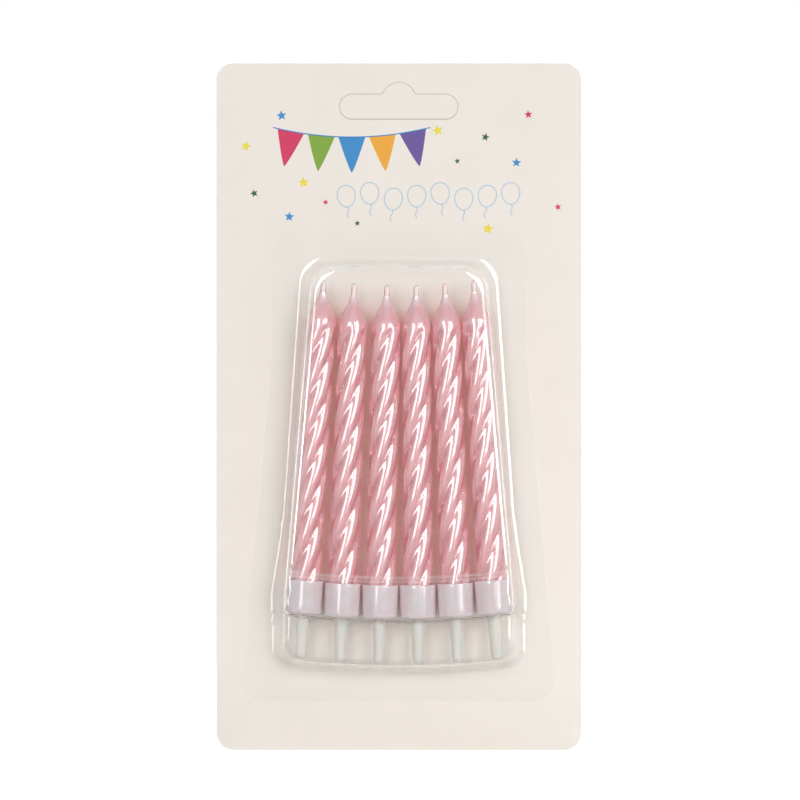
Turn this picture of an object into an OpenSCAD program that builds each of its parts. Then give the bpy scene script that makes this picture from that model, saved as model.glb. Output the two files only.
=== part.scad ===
// Hang-card pack of spiral birthday candles. Millimetres, +Z up, +Y towards the back of the card.
// The origin is the centre of the hang slot on the front face of the card.

/* [Card] */
// Width of the card
card_w = 98.5; // [94:0.5:120]
// Height of the card
card_h = 185.5; // [180:0.5:220]
// Thickness of the board
card_t = 0.5; // [0.3:0.05:1]
// Radius of the card's corners
card_corner_r = 4.6; // [1:0.1:8]

/* [Hang slot] */
// Length of the slot's bar
slot_w = 32; // [24:0.5:36]
// Height of the slot's bar
slot_h = 6.8; // [5:0.1:8]
// Height of the bump above the bar
slot_bump_h = 3.2; // [2:0.1:4]
// Radius of the bump
slot_bump_r = 4.5; // [3.5:0.1:5]
// Radius where the bump runs into the bar
slot_fillet_r = 1.2; // [0.4:0.1:2]
// Distance from the slot's centre to the card's top edge
slot_drop = 11.7; // [10:0.1:16]
// Width of the cut line round the tab
cut_w = 0.2; // [0.1:0.05:0.4]
// Width of the nicks that hold the tab in
nick_w = 0.8; // [0.4:0.1:1.5]

/* [Candle] */
// Width over the crests of the flutes at the candle's foot
candle_d = 8.2; // [6:0.1:8.2]
// Width over the crests at the shoulder, where the candle is thinnest
shoulder_d = 7.9; // [6:0.1:7.9]
// Depth of the flutes
flute_depth = 0.55; // [0.2:0.05:0.9]
// Number of flutes
flute_count = 5; // [4:1:7]
// Height that one turn of the spiral climbs
spiral_pitch = 55.3; // [35:0.1:90]
// Length of the fluted part, from the cup's floor to the shoulder
fluted_l = 77.6; // [60:0.2:79]
// Length of the drawn-in neck above the shoulder
neck_l = 8.4; // [5:0.2:9]
// Wall of wax round the wick at the top of the neck
neck_wall = 0.15; // [0.1:0.05:0.5]

/* [Wick] */
// Thickness of the waxed wick
wick_d = 1.5; // [1:0.1:2]
// Gap between the wick and the wax round it
wick_gap = 0.02; // [0.01:0.01:0.05]
// Length of the wick that stands out of the neck
wick_out = 3.2; // [2:0.2:4]

/* [Holder] */
// Outside width of the cup at its mouth
cup_mouth_d = 9.8; // [9.7:0.05:9.9]
// Outside width of the cup at its foot
cup_foot_d = 9.45; // [9.4:0.05:9.7]
// Height of the cup
cup_h = 9.1; // [7:0.1:10]
// Thickness of the cup's side
cup_wall = 0.55; // [0.4:0.05:0.6]
// Thickness of the cup's floor
cup_floor = 0.8; // [0.5:0.1:1.5]
// Radius of the cup's lower edge
cup_edge_r = 0.8; // [0.4:0.1:1.2]
// Length of the spike
spike_l = 12.4; // [8:0.2:13]
// Width of the spike where it leaves the cup
spike_root_d = 3.8; // [3:0.1:4]
// Width of the spike at its blunt tip
spike_tip_d = 3; // [2.6:0.1:3.4]
// Radius of the spike's tip edge
spike_tip_r = 1.1; // [0.2:0.1:1.2]

/* [Row of candles] */
// Distance between neighbouring cups
cup_pitch = 10.25; // [10.2:0.05:11]
// Lean of the outermost candle, in degrees
fan_lean = 3.5; // [0:0.1:3.5]
// Radius of the arc on which the cups sit
seat_arc_r = 246; // [200:1:400]
// Depth of the lowest cup's underside below the hang slot
seat_drop = 138; // [134:0.1:142]

/* [Blister] */
// Thickness of the clear film
film_t = 0.3; // [0.2:0.05:0.4]
// Gap between the cups and the card, and between the cups and the film in front
cup_gap = 0.25; // [0.2:0.05:0.6]
// Room in front of the candles
candle_room = 0.4; // [0.3:0.05:0.5]
// Height of the raised band's front above the cups' rims
band_rise = 1; // [0.6:0.1:2]
// Slope of the step between the band and the candles, in degrees
step_draft = 55; // [30:1:60]
// Height above the rims at which the walls beside the cups begin to flare
flare_h = 14; // [8:0.5:20]
// Gap between the cups' undersides and the ledge that they sit on
seat_gap = 0.3; // [0.25:0.05:0.5]
// Room in front of the spikes
spike_room = 0.5; // [0.3:0.1:1.2]
// Room below the spikes
spike_end_room = 0.4; // [0.4:0.1:1.5]
// Room above the outermost wick
head_room = 4; // [3:0.1:6]
// Room beside the outermost cup
cup_side_room = 1; // [0.9:0.1:2]
// Room beside the outermost candle, level with its cup's rim
candle_side_room = 1.3; // [1.2:0.1:1.6]
// Room beside the outermost wick
wick_side_room = 4.2; // [4.1:0.1:5]
// Slope of the walls at the top, in degrees
wall_draft = 13; // [8:0.5:14]
// Slope of the walls beside the candles' feet, in degrees
waist_draft = 7; // [5:0.5:10]
// Slope of the walls beside the cups and spikes, in degrees
cup_draft = 17.5; // [14:0.5:19]
// Slope of the wall below the spikes, in degrees
end_draft = 15.5; // [8:0.5:18]
// Slope of the ledge under the cups, in degrees
ledge_draft = 5; // [2:0.5:6]
// Radius of the pocket's upright corners
pocket_corner_r = 5; // [3.4:0.1:6]
// Radius of the corners where the ledge meets the walls
ledge_corner_r = 2.2; // [1:0.1:3]
// Radius of the pocket's front edges
pocket_edge_r = 1.2; // [0.8:0.1:1.3]
// Step outwards of the walls beside the spikes
spike_lip = 0.3; // [0.2:0.1:0.8]
// Height to which that step runs up beside the cups
spike_lip_h = 4; // [2:0.5:6]
// Radius where the walls run into the flange
pocket_foot_r = 0.8; // [0.4:0.1:1.2]
// Width of the flange above the pocket
seal_top = 7.8; // [5:0.1:9]
// Width of the flange beside the pocket
seal_side = 9.1; // [6:0.1:11]
// Width of the flange below the pocket
seal_bottom = 8.4; // [6:0.1:10]
// Height of the straight upper part of the flange
flange_straight_h = 27; // [20:0.5:40]
// Radius of the flange's corners
flange_corner_r = 5.4; // [3:0.1:7]

/* [Hidden] */
// How far cuts run past the faces that they go through
overrun = 0.1;
// Thickness of the slices that the pocket's forms are drawn through
slice_t = 0.01;
// Lean of each candle, from left to right, in shares of the outermost one's
lean_shares = [1, 0.62, 0.36, -0.08, -0.54, -1];
// Where each candle's flutes start, in shares of one flute
start_shares = [0.18, 0.74, 0.13, 0.15, 0.5, 0.45];
// Where the nicks cross the bar's long edges, in shares of the bar's half length
nick_shares = [-0.62, 0.62];
// Share of the neck over which the flutes fade
fade_share = 0.3;
// Share of the neck's outline that is a straight cone; the rest is a soft bell
cone_share = 0.35;

candle_count = len(lean_shares);
flute_points = 6;
turn_per_ring = 18;
neck_rings = 5;
corner_fn = 24;
edge_steps = 3;
arc_steps = 10;
row_steps = 8;
step_fn = 180;
smooth_fn = 44;

bore_d = wick_d + 2 * wick_gap;
wax_top = cup_floor + fluted_l + neck_l;
wick_top = wax_top + wick_out;
row_depth = cup_gap + cup_mouth_d / 2;
candle_depth = row_depth + candle_d / 2 + candle_room;
band_depth = row_depth + cup_mouth_d / 2 + cup_gap;
shallow_depth = row_depth + spike_root_d / 2 + spike_room;

// Sideways and height places of a cup's underside, for candle n counted from 1 on the left
function cup_x(n) = (n - (candle_count + 1) / 2) * cup_pitch;
function arc_rise(x, r) = r - sqrt(r * r - x * x);
function seat_z(n) = -seat_drop + arc_rise(cup_x(n), seat_arc_r);
function lean(n) = fan_lean * lean_shares[n - 1];

outer_x = cup_x(candle_count);
outer_seat_z = seat_z(candle_count);
outer_tip_x = outer_x - wick_top * sin(fan_lean);
outer_tip_z = outer_seat_z + wick_top * cos(fan_lean);

// The pockets' outlines where their inner faces meet the card. The walls slope in towards the front.
top_in = row_depth * tan(wall_draft);
waist_in = row_depth * tan(waist_draft);
pocket_top_z = outer_tip_z + head_room + top_in;
pocket_top_x = outer_tip_x + wick_side_room + top_in;
pocket_waist_z = outer_seat_z + cup_h;
pocket_waist_x = outer_x - cup_h * sin(fan_lean) + candle_d / 2 + candle_side_room + waist_in;
pocket_low_x = outer_x + cup_mouth_d / 2 + cup_side_room + row_depth * tan(cup_draft);
flare_share = flare_h / (pocket_top_z - pocket_corner_r - pocket_waist_z);
flare_x = pocket_waist_x + (pocket_top_x - pocket_waist_x) * flare_share;
floor_arc_r = seat_arc_r + spike_l + spike_end_room + row_depth * tan(end_draft);
step_arc_r = seat_arc_r - cup_h - band_rise;
ledge_arc_r = seat_arc_r + seat_gap + shallow_depth * tan(ledge_draft);
arc_centre_z = seat_arc_r - seat_drop;

// A flat outline in X and Z as a plate whose front face lies at depth in front of the card
module plate(depth, thickness) {
    translate([0, -depth, 0])
        rotate([-90, 0, 0])
            linear_extrude(thickness)
                mirror([0, 1, 0])
                    children();
}

// Points along an arc round [x, z], turning from one angle to another
function arc_points(x, z, r, from, to) = [
    for (k = [0 : arc_steps])
        let (turn = from + (to - from) * k / arc_steps)
        [x + r * cos(turn), z + r * sin(turn)]
];

module rounded_rectangle(w, h, r) {
    x = w / 2 - r;
    z = h / 2 - r;
    polygon(concat(
        arc_points(x, -z, r, -90, 0),
        arc_points(x, z, r, 0, 90),
        arc_points(-x, z, r, 90, 180),
        arc_points(-x, -z, r, 180, 270)
    ));
}

// The hang slot's outline, drawn in by inset on every side: a bar with round ends, and a bump with soft feet
module slot_outline(inset) {
    bar_x = (slot_w - slot_h) / 2;
    bump_z = slot_h / 2 + slot_bump_h - slot_bump_r;
    fillet_z = slot_h / 2 + slot_fillet_r;
    reach = slot_bump_r + slot_fillet_r;
    lift = asin((fillet_z - bump_z) / reach);
    fillet_x = reach * cos(lift);
    fillet_r = slot_fillet_r + inset;
    polygon(concat(
        arc_points(bar_x, 0, slot_h / 2 - inset, -90, 90),
        arc_points(fillet_x, fillet_z, fillet_r, 270, 180 + lift),
        arc_points(0, bump_z, slot_bump_r - inset, lift, 180 - lift),
        arc_points(-fillet_x, fillet_z, fillet_r, -lift, -90),
        arc_points(-bar_x, 0, slot_h / 2 - inset, 90, 270)
    ));
}

// The line cut round the slot's tab, broken by the nicks that keep the tab in place
module slot_cut() {
    difference() {
        slot_outline(0);
        slot_outline(cut_w);
        for (share = nick_shares)
            translate([share * slot_w / 2, 0])
                square([nick_w, slot_h + 2 * overrun], center = true);
        square([slot_w + 2 * overrun, nick_w], center = true);
    }
}

module backing_card() {
    color("ivory")
        plate(0, card_t)
            difference() {
                translate([0, slot_drop - card_h / 2])
                    rounded_rectangle(card_w, card_h, card_corner_r);
                slot_cut();
            }
}

// A row of corner circles along an arc that sags in the middle
module low_row(half_w, arc_r, r) {
    for (k = [0 : row_steps]) {
        x = half_w * (2 * k / row_steps - 1);
        translate([x, arc_centre_z - sqrt(arc_r * arc_r - x * x)])
            circle(r, $fn = corner_fn);
    }
}

// A pair of corner circles, one on each side
module both_sides(x, z, r) {
    for (side = [-1, 1])
        translate([side * x, z])
            circle(r, $fn = corner_fn);
}

// How far an outline is drawn in at a depth, for a wall of the slope draft, and by more on every side
function drawn_in(depth, draft, more) = depth * tan(draft) + more;

// Outline of the pocket round the candles. Its lower end stays inside the band round the cups.
module candles_outline(depth, more) {
    r = pocket_corner_r;
    high_in = drawn_in(depth, wall_draft, more) + r;
    hull() {
        both_sides(pocket_top_x - high_in, pocket_top_z - high_in, r);
        both_sides(pocket_waist_x - drawn_in(depth, waist_draft, more) - r, pocket_waist_z, r);
    }
}

// Outline of the raised band round the cups. Its upper end runs out into the walls beside the candles.
module cups_outline(depth, more) {
    r = pocket_corner_r;
    side_in = drawn_in(depth, cup_draft, more);
    low_in = drawn_in(depth, ledge_draft, more) + ledge_corner_r;
    hull() {
        both_sides(flare_x - side_in - r, pocket_waist_z + flare_h, r);
        both_sides(pocket_low_x - side_in - r, outer_seat_z + r, r);
        low_row(pocket_low_x - side_in - ledge_corner_r, ledge_arc_r - low_in, ledge_corner_r);
    }
}

// Outline of the shallow pocket round the spikes. Its upper end is narrow and stays inside the band.
module spikes_outline(depth, more) {
    r = pocket_corner_r;
    low_x = pocket_low_x + spike_lip - drawn_in(depth, cup_draft, more) - r;
    lip_z = outer_seat_z + spike_lip_h - r;
    hull() {
        both_sides(low_x - r, lip_z + r, r);
        both_sides(low_x, lip_z, r);
        low_row(low_x, floor_arc_r - drawn_in(depth, end_draft, more) - r, r);
    }
}

// A thin slice of one pocket at a depth in front of the card
module slice(pocket, depth, more) {
    plate(depth + slice_t, slice_t)
        if (pocket == "candles") {
            candles_outline(depth, more);
        } else if (pocket == "cups") {
            cups_outline(depth, more);
        } else {
            spikes_outline(depth, more);
        }
}

// A solid that fills one pocket, with a flared foot and a rounded front edge. It starts at the depth start.
module pocket_form(pocket, front, start, grow) {
    foot_depth = pocket_foot_r + grow / 2;
    edge_r = pocket_edge_r + grow;
    hull() {
        slice(pocket, start, -pocket_foot_r);
        slice(pocket, start + film_t, -pocket_foot_r);
        slice(pocket, foot_depth, -grow);
    }
    hull() {
        slice(pocket, foot_depth, -grow);
        for (k = [0 : edge_steps]) {
            turn = 90 * k / edge_steps;
            slice(pocket, front + grow - slice_t - edge_r * (1 - sin(turn)), edge_r * (1 - cos(turn)) - grow);
        }
    }
}

// Everything above the step over the cups: a cone round the centre of their arc that widens towards the front
module above_step(grow) {
    run = tan(step_draft);
    shift = grow * sqrt(1 + run * run);
    back = -film_t - overrun;
    front = band_depth + grow + overrun;
    translate([0, -back, arc_centre_z])
        rotate([90, 0, 0])
            cylinder(
                r1 = step_arc_r - shift - (band_depth - back) * run,
                r2 = step_arc_r - shift - (band_depth - front) * run,
                h = front - back, $fn = step_fn);
}

module all_pockets(start, grow) {
    pocket_form("candles", candle_depth, start, grow);
    pocket_form("spikes", shallow_depth, start, grow);
    difference() {
        pocket_form("cups", band_depth, start, grow);
        above_step(grow);
    }
}

// The flange: upright sides at the top, then sides that follow the fan of candles
module flange_outline() {
    r = flange_corner_r;
    top_z = pocket_top_z + seal_top - r;
    top_x = pocket_top_x + seal_side - r;
    low_x = pocket_low_x + seal_side - r;
    low_z = arc_centre_z - floor_arc_r - seal_bottom + r;
    for (rows = [[[top_x, top_z], [top_x, top_z - flange_straight_h]],
            [[top_x, top_z - flange_straight_h], [low_x, low_z]]])
        hull()
            for (side = [-1, 1])
                for (place = rows)
                    translate([side * place[0], place[1]])
                        circle(r, $fn = corner_fn);
}

// The shell is the flange and the pockets' outer form, less their inner form
module blister_shell() {
    color([0.82, 0.9, 0.95, 0.35])
        difference() {
            union() {
                plate(film_t, film_t)
                    flange_outline();
                all_pockets(0, film_t);
            }
            all_pockets(-film_t, 0);
        }
}

// Places a child on a candle's axis, with its zero at the underside of the cup
module on_axis(n) {
    translate([cup_x(n), -row_depth, seat_z(n)])
        rotate([0, lean(n), 0])
            children();
}

// Radius of the candle's outline at a height above the shoulder: full below it, a soft bell above it
function neck_share(up) = up <= 0 ? 1
    : cone_share * (1 - up / neck_l) + (1 - cone_share) * (1 + cos(180 * up / neck_l)) / 2;
function crest_r(z) =
    let (
        thin = wick_d / 2 + neck_wall,
        full = candle_d / 2 + (shoulder_d - candle_d) / 2 * min(1, z / fluted_l)
    )
    thin + (full - thin) * neck_share(z - fluted_l);
function groove(z) = flute_depth * max(0, 1 - max(0, z - fluted_l) / (fade_share * neck_l));
function ring(z, start) = [
    for (k = [0 : flute_count * flute_points - 1])
        let (
            round_turn = 360 * k / (flute_count * flute_points),
            turn = round_turn + 360 * z / spiral_pitch + 360 * start / flute_count,
            r = crest_r(z) - groove(z) * (1 - cos(flute_count * round_turn)) / 2
        )
        [r * cos(turn), r * sin(turn), z]
];

// The wax body: rings of points that turn with the spiral, joined by triangles along the flutes
module candle(n) {
    count = flute_count * flute_points;
    body_rings = ceil(fluted_l / spiral_pitch * 360 / turn_per_ring);
    heights = concat(
        [for (k = [0 : body_rings]) fluted_l * k / body_rings],
        [for (k = [1 : neck_rings]) fluted_l + neck_l * k / neck_rings]
    );
    rings = [for (z = heights) ring(z, start_shares[n - 1])];
    last = len(heights) - 1;
    points = concat(
        [for (one = rings) each one],
        [[0, 0, 0], [0, 0, fluted_l + neck_l]]
    );
    foot = len(points) - 2;
    head = len(points) - 1;
    faces = concat(
        [for (i = [0 : last - 1]) for (k = [0 : count - 1])
            [i * count + k, (i + 1) * count + k, i * count + (k + 1) % count]],
        [for (i = [0 : last - 1]) for (k = [0 : count - 1])
            [(i + 1) * count + k, (i + 1) * count + (k + 1) % count, i * count + (k + 1) % count]],
        [for (k = [0 : count - 1]) [foot, k, (k + 1) % count]],
        [for (k = [0 : count - 1]) [head, last * count + (k + 1) % count, last * count + k]]
    );
    color("lightpink")
        on_axis(n)
            translate([0, 0, cup_floor])
                difference() {
                    polyhedron(points, faces, convexity = 4);
                    translate([0, 0, -overrun])
                        cylinder(d = bore_d, h = fluted_l + neck_l + 2 * overrun, $fn = smooth_fn);
                }
}

// The waxed wick runs the whole length of the candle and ends in a round tip
module wick(n) {
    color("mistyrose")
        on_axis(n) {
            translate([0, 0, cup_floor])
                cylinder(d = wick_d, h = wick_top - cup_floor - wick_d / 2, $fn = smooth_fn);
            translate([0, 0, wick_top - wick_d / 2])
                sphere(d = wick_d, $fn = smooth_fn);
        }
}

// Points along a quarter turn that starts at the angle from
function quarter(x, z, r, from) = [
    for (k = [0 : edge_steps])
        let (turn = from + 90 * k / edge_steps)
        [x + r * cos(turn), z + r * sin(turn)]
];
// Half of the holder's outline, from the spike's tip up to the rim and down the inside of the cup
holder_outline = concat(
    [[0, -spike_l]],
    quarter(spike_tip_d / 2 - spike_tip_r, spike_tip_r - spike_l, spike_tip_r, -90),
    [[spike_root_d / 2, 0]],
    quarter(cup_foot_d / 2 - cup_edge_r, cup_edge_r, cup_edge_r, -90),
    [
        [cup_mouth_d / 2, cup_h],
        [cup_mouth_d / 2 - cup_wall, cup_h],
        [cup_foot_d / 2 - cup_wall, cup_floor],
        [0, cup_floor]
    ]
);

module holder(n) {
    color("whitesmoke")
        on_axis(n)
            rotate_extrude($fn = smooth_fn)
                polygon(holder_outline);
}

backing_card();
blister_shell();
for (n = [1 : candle_count]) {
    candle(n);
    wick(n);
    holder(n);
}
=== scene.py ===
"""Looks of a carded pack of six spiral candles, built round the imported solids.

Metres, +Z up. The card's front face looks towards -Y, and the origin is the middle of the hang slot.
"""

import logging
import math
from dataclasses import dataclass, field
from enum import Enum
from typing import Iterable, Optional, Sequence, Union

import bpy
import numpy as np
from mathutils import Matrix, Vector


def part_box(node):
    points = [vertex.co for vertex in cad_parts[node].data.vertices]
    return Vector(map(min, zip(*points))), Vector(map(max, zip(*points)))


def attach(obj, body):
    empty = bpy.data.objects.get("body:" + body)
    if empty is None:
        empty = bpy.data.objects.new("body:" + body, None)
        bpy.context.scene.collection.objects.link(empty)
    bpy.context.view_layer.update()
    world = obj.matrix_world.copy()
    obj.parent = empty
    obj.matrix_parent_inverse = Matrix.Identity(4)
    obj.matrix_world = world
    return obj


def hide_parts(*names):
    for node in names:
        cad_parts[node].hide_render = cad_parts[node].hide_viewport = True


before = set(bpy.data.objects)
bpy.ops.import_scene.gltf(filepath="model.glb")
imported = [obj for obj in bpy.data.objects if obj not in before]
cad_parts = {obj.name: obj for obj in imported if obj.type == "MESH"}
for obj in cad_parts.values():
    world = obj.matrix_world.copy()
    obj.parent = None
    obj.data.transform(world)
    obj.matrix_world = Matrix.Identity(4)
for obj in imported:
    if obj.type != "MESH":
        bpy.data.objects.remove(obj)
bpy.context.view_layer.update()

LOG = logging.getLogger("candle_pack")
MM = 0.001
TURN = 2 * math.pi
PACK = "pack"
Array = np.ndarray
Number = Union[float, Array]
Pair = tuple[float, float]
Triple = tuple[float, float, float]
Rgb = tuple[float, float, float]
Mesh = tuple[Array, Sequence[Sequence[int]]]


def srgb(red: float, green: float, blue: float) -> Rgb:
    """Turns a screen colour into the linear colour that shaders take.

    Each part is divided by 12.92 where it is very dark, and otherwise follows a power of 2.4.

    Args:
        red: red from 0 to 255.
        green: green from 0 to 255.
        blue: blue from 0 to 255.

    Returns:
        The linear colour, each part from 0 to 1.
    """
    share = np.array([red, green, blue]) / 255
    linear = np.where(share <= 0.04045, share / 12.92, ((share + 0.055) / 1.055) ** 2.4)
    return tuple(float(part) for part in linear)


def smooth_step(value: Array, low: float, high: float) -> Array:
    """Rises softly from 0 at low to 1 at high: 3t squared less 2t cubed."""
    share = np.clip((value - low) / (high - low), 0, 1)
    return share * share * (3 - 2 * share)


def soft_max(one: Array, other: Number, width: Number) -> Array:
    """The larger of two values, with a blend of about width where they cross."""
    return 0.5 * (one + other + np.sqrt((one - other) ** 2 + width * width))


# ---------------------------------------------------------------- meshes


def around(columns: int) -> Array:
    """Even angles once round an axis, in one row."""
    return np.linspace(0, TURN, columns, endpoint=False)[None, :]


def swept(radius: Number, angle: Array, height: Number) -> Array:
    """Points at a distance from an upright axis, at an angle round it and at a height."""
    return np.stack(np.broadcast_arrays(radius * np.cos(angle), radius * np.sin(angle), height), axis=-1)


def arc(x: float, z: float, radius: float, start: float, end: float, steps: int) -> Array:
    """Points of a flat arc round x and z, at even angles between two in degrees."""
    angle = np.radians(np.linspace(start, end, steps))
    return np.stack([x + radius * np.cos(angle), z + radius * np.sin(angle)], axis=-1)


def turned(path: Array, tilt: float, x: float, z: float) -> Array:
    """Turns a flat path about its own origin, and then moves it.

    Args:
        path: points across and up, one row each.
        tilt: degrees, anticlockwise as seen from the front.
        x: how far it moves across.
        z: how far it moves up.

    Returns:
        The moved points.
    """
    angle = math.radians(tilt)
    return np.stack([
        path[:, 0] * math.cos(angle) - path[:, 1] * math.sin(angle) + x,
        path[:, 0] * math.sin(angle) + path[:, 1] * math.cos(angle) + z,
    ], axis=-1)


def lattice(rows: int, columns: int, closed: bool = False) -> Array:
    """Quads of a grid whose columns run round.

    Args:
        rows: number of rings.
        columns: points in each ring, the last joined to the first.
        closed: whether the last ring is joined to the first one too.

    Returns:
        Point numbers, four to a face, counted round by round.
    """
    low = np.arange(rows if closed else rows - 1)[:, None]
    left = np.arange(columns)[None, :]
    high, right = (low + 1) % rows, (left + 1) % columns
    corners = [low * columns + left, low * columns + right, high * columns + right, high * columns + left]
    return np.stack(corners, axis=-1).reshape(-1, 4)


def capped(rings: Array, last: Sequence[float], first: Optional[Sequence[float]] = None) -> Mesh:
    """Joins rings to one surface, and closes its ends with fans of triangles.

    Args:
        rings: the points of each ring, ring by ring.
        last: the point that the last ring closes to.
        first: the point that the first ring closes to, or None where that end stays open.

    Returns:
        The rings' points with the closing points after them, and the faces.
    """
    count, columns = rings.shape[:2]
    left = np.arange(columns)
    right = (left + 1) % columns
    end, added = (count - 1) * columns, count * columns
    faces, tips = lattice(count, columns).tolist(), [last]
    if first is not None:
        faces += np.stack([np.full_like(left, added), right, left], axis=-1).tolist()
        added, tips = added + 1, [first, last]
    faces += np.stack([end + left, end + right, np.full_like(left, added)], axis=-1).tolist()
    return np.concatenate([rings.reshape(-1, 3), tips]), faces


def join_parts(parts: Iterable[Mesh]) -> Mesh:
    """Puts several meshes together as one.

    Args:
        parts: points and faces of each.

    Returns:
        All their points, and all their faces with the point numbers moved on.
    """
    points, faces, count = [], [], 0
    for some_points, some_faces in parts:
        points.append(some_points)
        faces.extend([int(number) + count for number in face] for face in some_faces)
        count += len(some_points)
    return np.concatenate(points), faces


def build_object(name: str, mesh: Mesh, smooth: bool = True) -> bpy.types.Object:
    """Makes an object at the origin from points and faces.

    Args:
        name: the piece's name.
        mesh: places of the points in metres, and the point numbers of each face.
        smooth: whether its faces are shaded as one round surface.

    Returns:
        The new object, linked to the scene.
    """
    points, faces = mesh
    data = bpy.data.meshes.new(name)
    data.from_pydata(points.reshape(-1, 3).tolist(), [], [list(map(int, face)) for face in faces])
    data.polygons.foreach_set("use_smooth", np.full(len(data.polygons), smooth))
    data.update()
    made = bpy.data.objects.new(name, data)
    bpy.context.scene.collection.objects.link(made)
    return made


def paint_value(piece: bpy.types.Object, name: str, values: Array) -> None:
    """Stores one number for each point, for the piece's material to read."""
    attribute = piece.data.attributes.new(name, "FLOAT", "POINT")
    attribute.data.foreach_set("value", values.astype(np.float32).ravel())


def finish_piece(
    piece: bpy.types.Object, material: bpy.types.Material, body: str, stands_for: Optional[str] = None
) -> None:
    """Dresses a new piece, hangs it on its body and reports it.

    Args:
        piece: the new object.
        material: its finish.
        body: the moving body that carries it.
        stands_for: the solid that it takes the place of, or None for a print.
    """
    piece.data.materials.append(material)
    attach(piece, body)
    if stands_for is not None:
        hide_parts(stands_for)
    LOG.info("%s: %d faces, on %s", piece.name, len(piece.data.polygons), body)


# ---------------------------------------------------------------- finishes


class Nodes:
    """The nodes of a material or of the world, with short ways to add those that the finishes share."""

    def __init__(
        self,
        owner: Union[bpy.types.Material, bpy.types.World],
        output: str = "ShaderNodeOutputMaterial",
        shader: str = "ShaderNodeBsdfPrincipled",
        places: str = "Object",
    ) -> None:
        """Starts an empty tree with its output, its coordinates and one main shader.

        Args:
            owner: the material or the world.
            output: kind of the output node.
            shader: kind of the main shader.
            places: name of the coordinates that patterns lie on.
        """
        owner.use_nodes = True
        self.owner, self.tree = owner, owner.node_tree
        self.tree.nodes.clear()
        self.output = self.add(output)
        self.places = self.add("ShaderNodeTexCoord").outputs[places]
        self.shader = self.add(shader)
        self.link(self.shader.outputs[0], self.output.inputs["Surface"])

    def add(self, kind: str, **settings: object) -> bpy.types.Node:
        """Adds a node.

        Args:
            kind: Blender's name for the kind of node.
            settings: the node's own options by name.

        Returns:
            The new node.
        """
        node = self.tree.nodes.new(kind)
        for key, value in settings.items():
            setattr(node, key, value)
        return node

    def link(self, source: bpy.types.NodeSocket, target: bpy.types.NodeSocket) -> None:
        """Joins an output to an input."""
        self.tree.links.new(source, target)

    def put(self, node: bpy.types.Node, values: dict[Union[str, int], object]) -> None:
        """Sets a node's inputs.

        Args:
            node: the node.
            values: for each input, by name or by number, an output to link, a colour or a number.
        """
        for key, value in values.items():
            if isinstance(value, bpy.types.NodeSocket):
                self.link(value, node.inputs[key])
            elif isinstance(value, tuple) and node.inputs[key].type == "RGBA":
                node.inputs[key].default_value = (*value, 1)
            else:
                node.inputs[key].default_value = value

    def noise(
        self, size: float, detail: float = 3, stretch: Optional[Triple] = None, roughness: float = 0.5
    ) -> bpy.types.NodeSocket:
        """Cloudy noise on the piece's own places.

        Args:
            size: width of one cloud in metres.
            detail: how many finer layers it has.
            stretch: how much finer it is along each axis, or None for even.
            roughness: how strong the finer layers are.

        Returns:
            The noise as a value from 0 to 1.
        """
        source = self.places
        if stretch is not None:
            mapping = self.add("ShaderNodeMapping")
            self.put(mapping, {"Vector": source, "Scale": stretch})
            source = mapping.outputs[0]
        node = self.add("ShaderNodeTexNoise")
        self.put(node, {"Vector": source, "Scale": 1 / size, "Detail": detail, "Roughness": roughness})
        return node.outputs["Fac"]

    def attribute(self, name: str) -> bpy.types.NodeSocket:
        """A number that the mesh stores for each point."""
        return self.add("ShaderNodeAttribute", attribute_name=name).outputs["Fac"]

    def facing(self) -> bpy.types.NodeSocket:
        """How far the surface is turned aside, from 0 where it is seen straight on to 1 at its outline."""
        return self.add("ShaderNodeLayerWeight").outputs["Facing"]

    def coordinate(self, axis: str) -> bpy.types.NodeSocket:
        """One of the coordinates.

        Args:
            axis: X, Y or Z.

        Returns:
            Its value at each place.
        """
        split = self.add("ShaderNodeSeparateXYZ")
        self.put(split, {0: self.places})
        return split.outputs[axis]

    def spread(self, value: bpy.types.NodeSocket, between: Pair, onto: Pair = (0, 1)) -> bpy.types.NodeSocket:
        """Maps one span softly onto another, and holds it there.

        Args:
            value: what is mapped.
            between: the span's start and end.
            onto: what they become.

        Returns:
            The mapped value.
        """
        (low, high), (to_low, to_high) = between, onto
        node = self.add("ShaderNodeMapRange", interpolation_type="SMOOTHSTEP")
        self.put(node, {"Value": value, "From Min": low, "From Max": high, "To Min": to_low, "To Max": to_high})
        return node.outputs["Result"]

    def blend(self, share: bpy.types.NodeSocket, one: object, other: object) -> bpy.types.NodeSocket:
        """Mixes two colours.

        Args:
            share: how much of the other one, from 0 to 1.
            one: a colour, or an output that gives it.
            other: the same for the other colour.

        Returns:
            The mixed colour.
        """
        node = self.add("ShaderNodeMix", data_type="RGBA")
        self.put(node, {"Factor": share, 6: one, 7: other})
        return node.outputs[2]

    def reckon(self, operation: str, one: object, other: object) -> bpy.types.NodeSocket:
        """Works out a product, power or other result of two numbers.

        Args:
            operation: Blender's name for it.
            one: a number, or an output that gives it.
            other: the same for the other number.

        Returns:
            The result.
        """
        node = self.add("ShaderNodeMath", operation=operation)
        self.put(node, {0: one, 1: other})
        return node.outputs[0]

    def show_instead(self, share: bpy.types.NodeSocket, other: bpy.types.Node) -> None:
        """Puts another shader in the main one's place, by a share.

        Args:
            share: how much of the other one is seen, from 0 to 1.
            other: the other shader.
        """
        mix = self.add("ShaderNodeMixShader")
        self.put(mix, {0: share, 1: self.shader.outputs[0], 2: other.outputs[0]})
        self.link(mix.outputs[0], self.output.inputs["Surface"])

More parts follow.
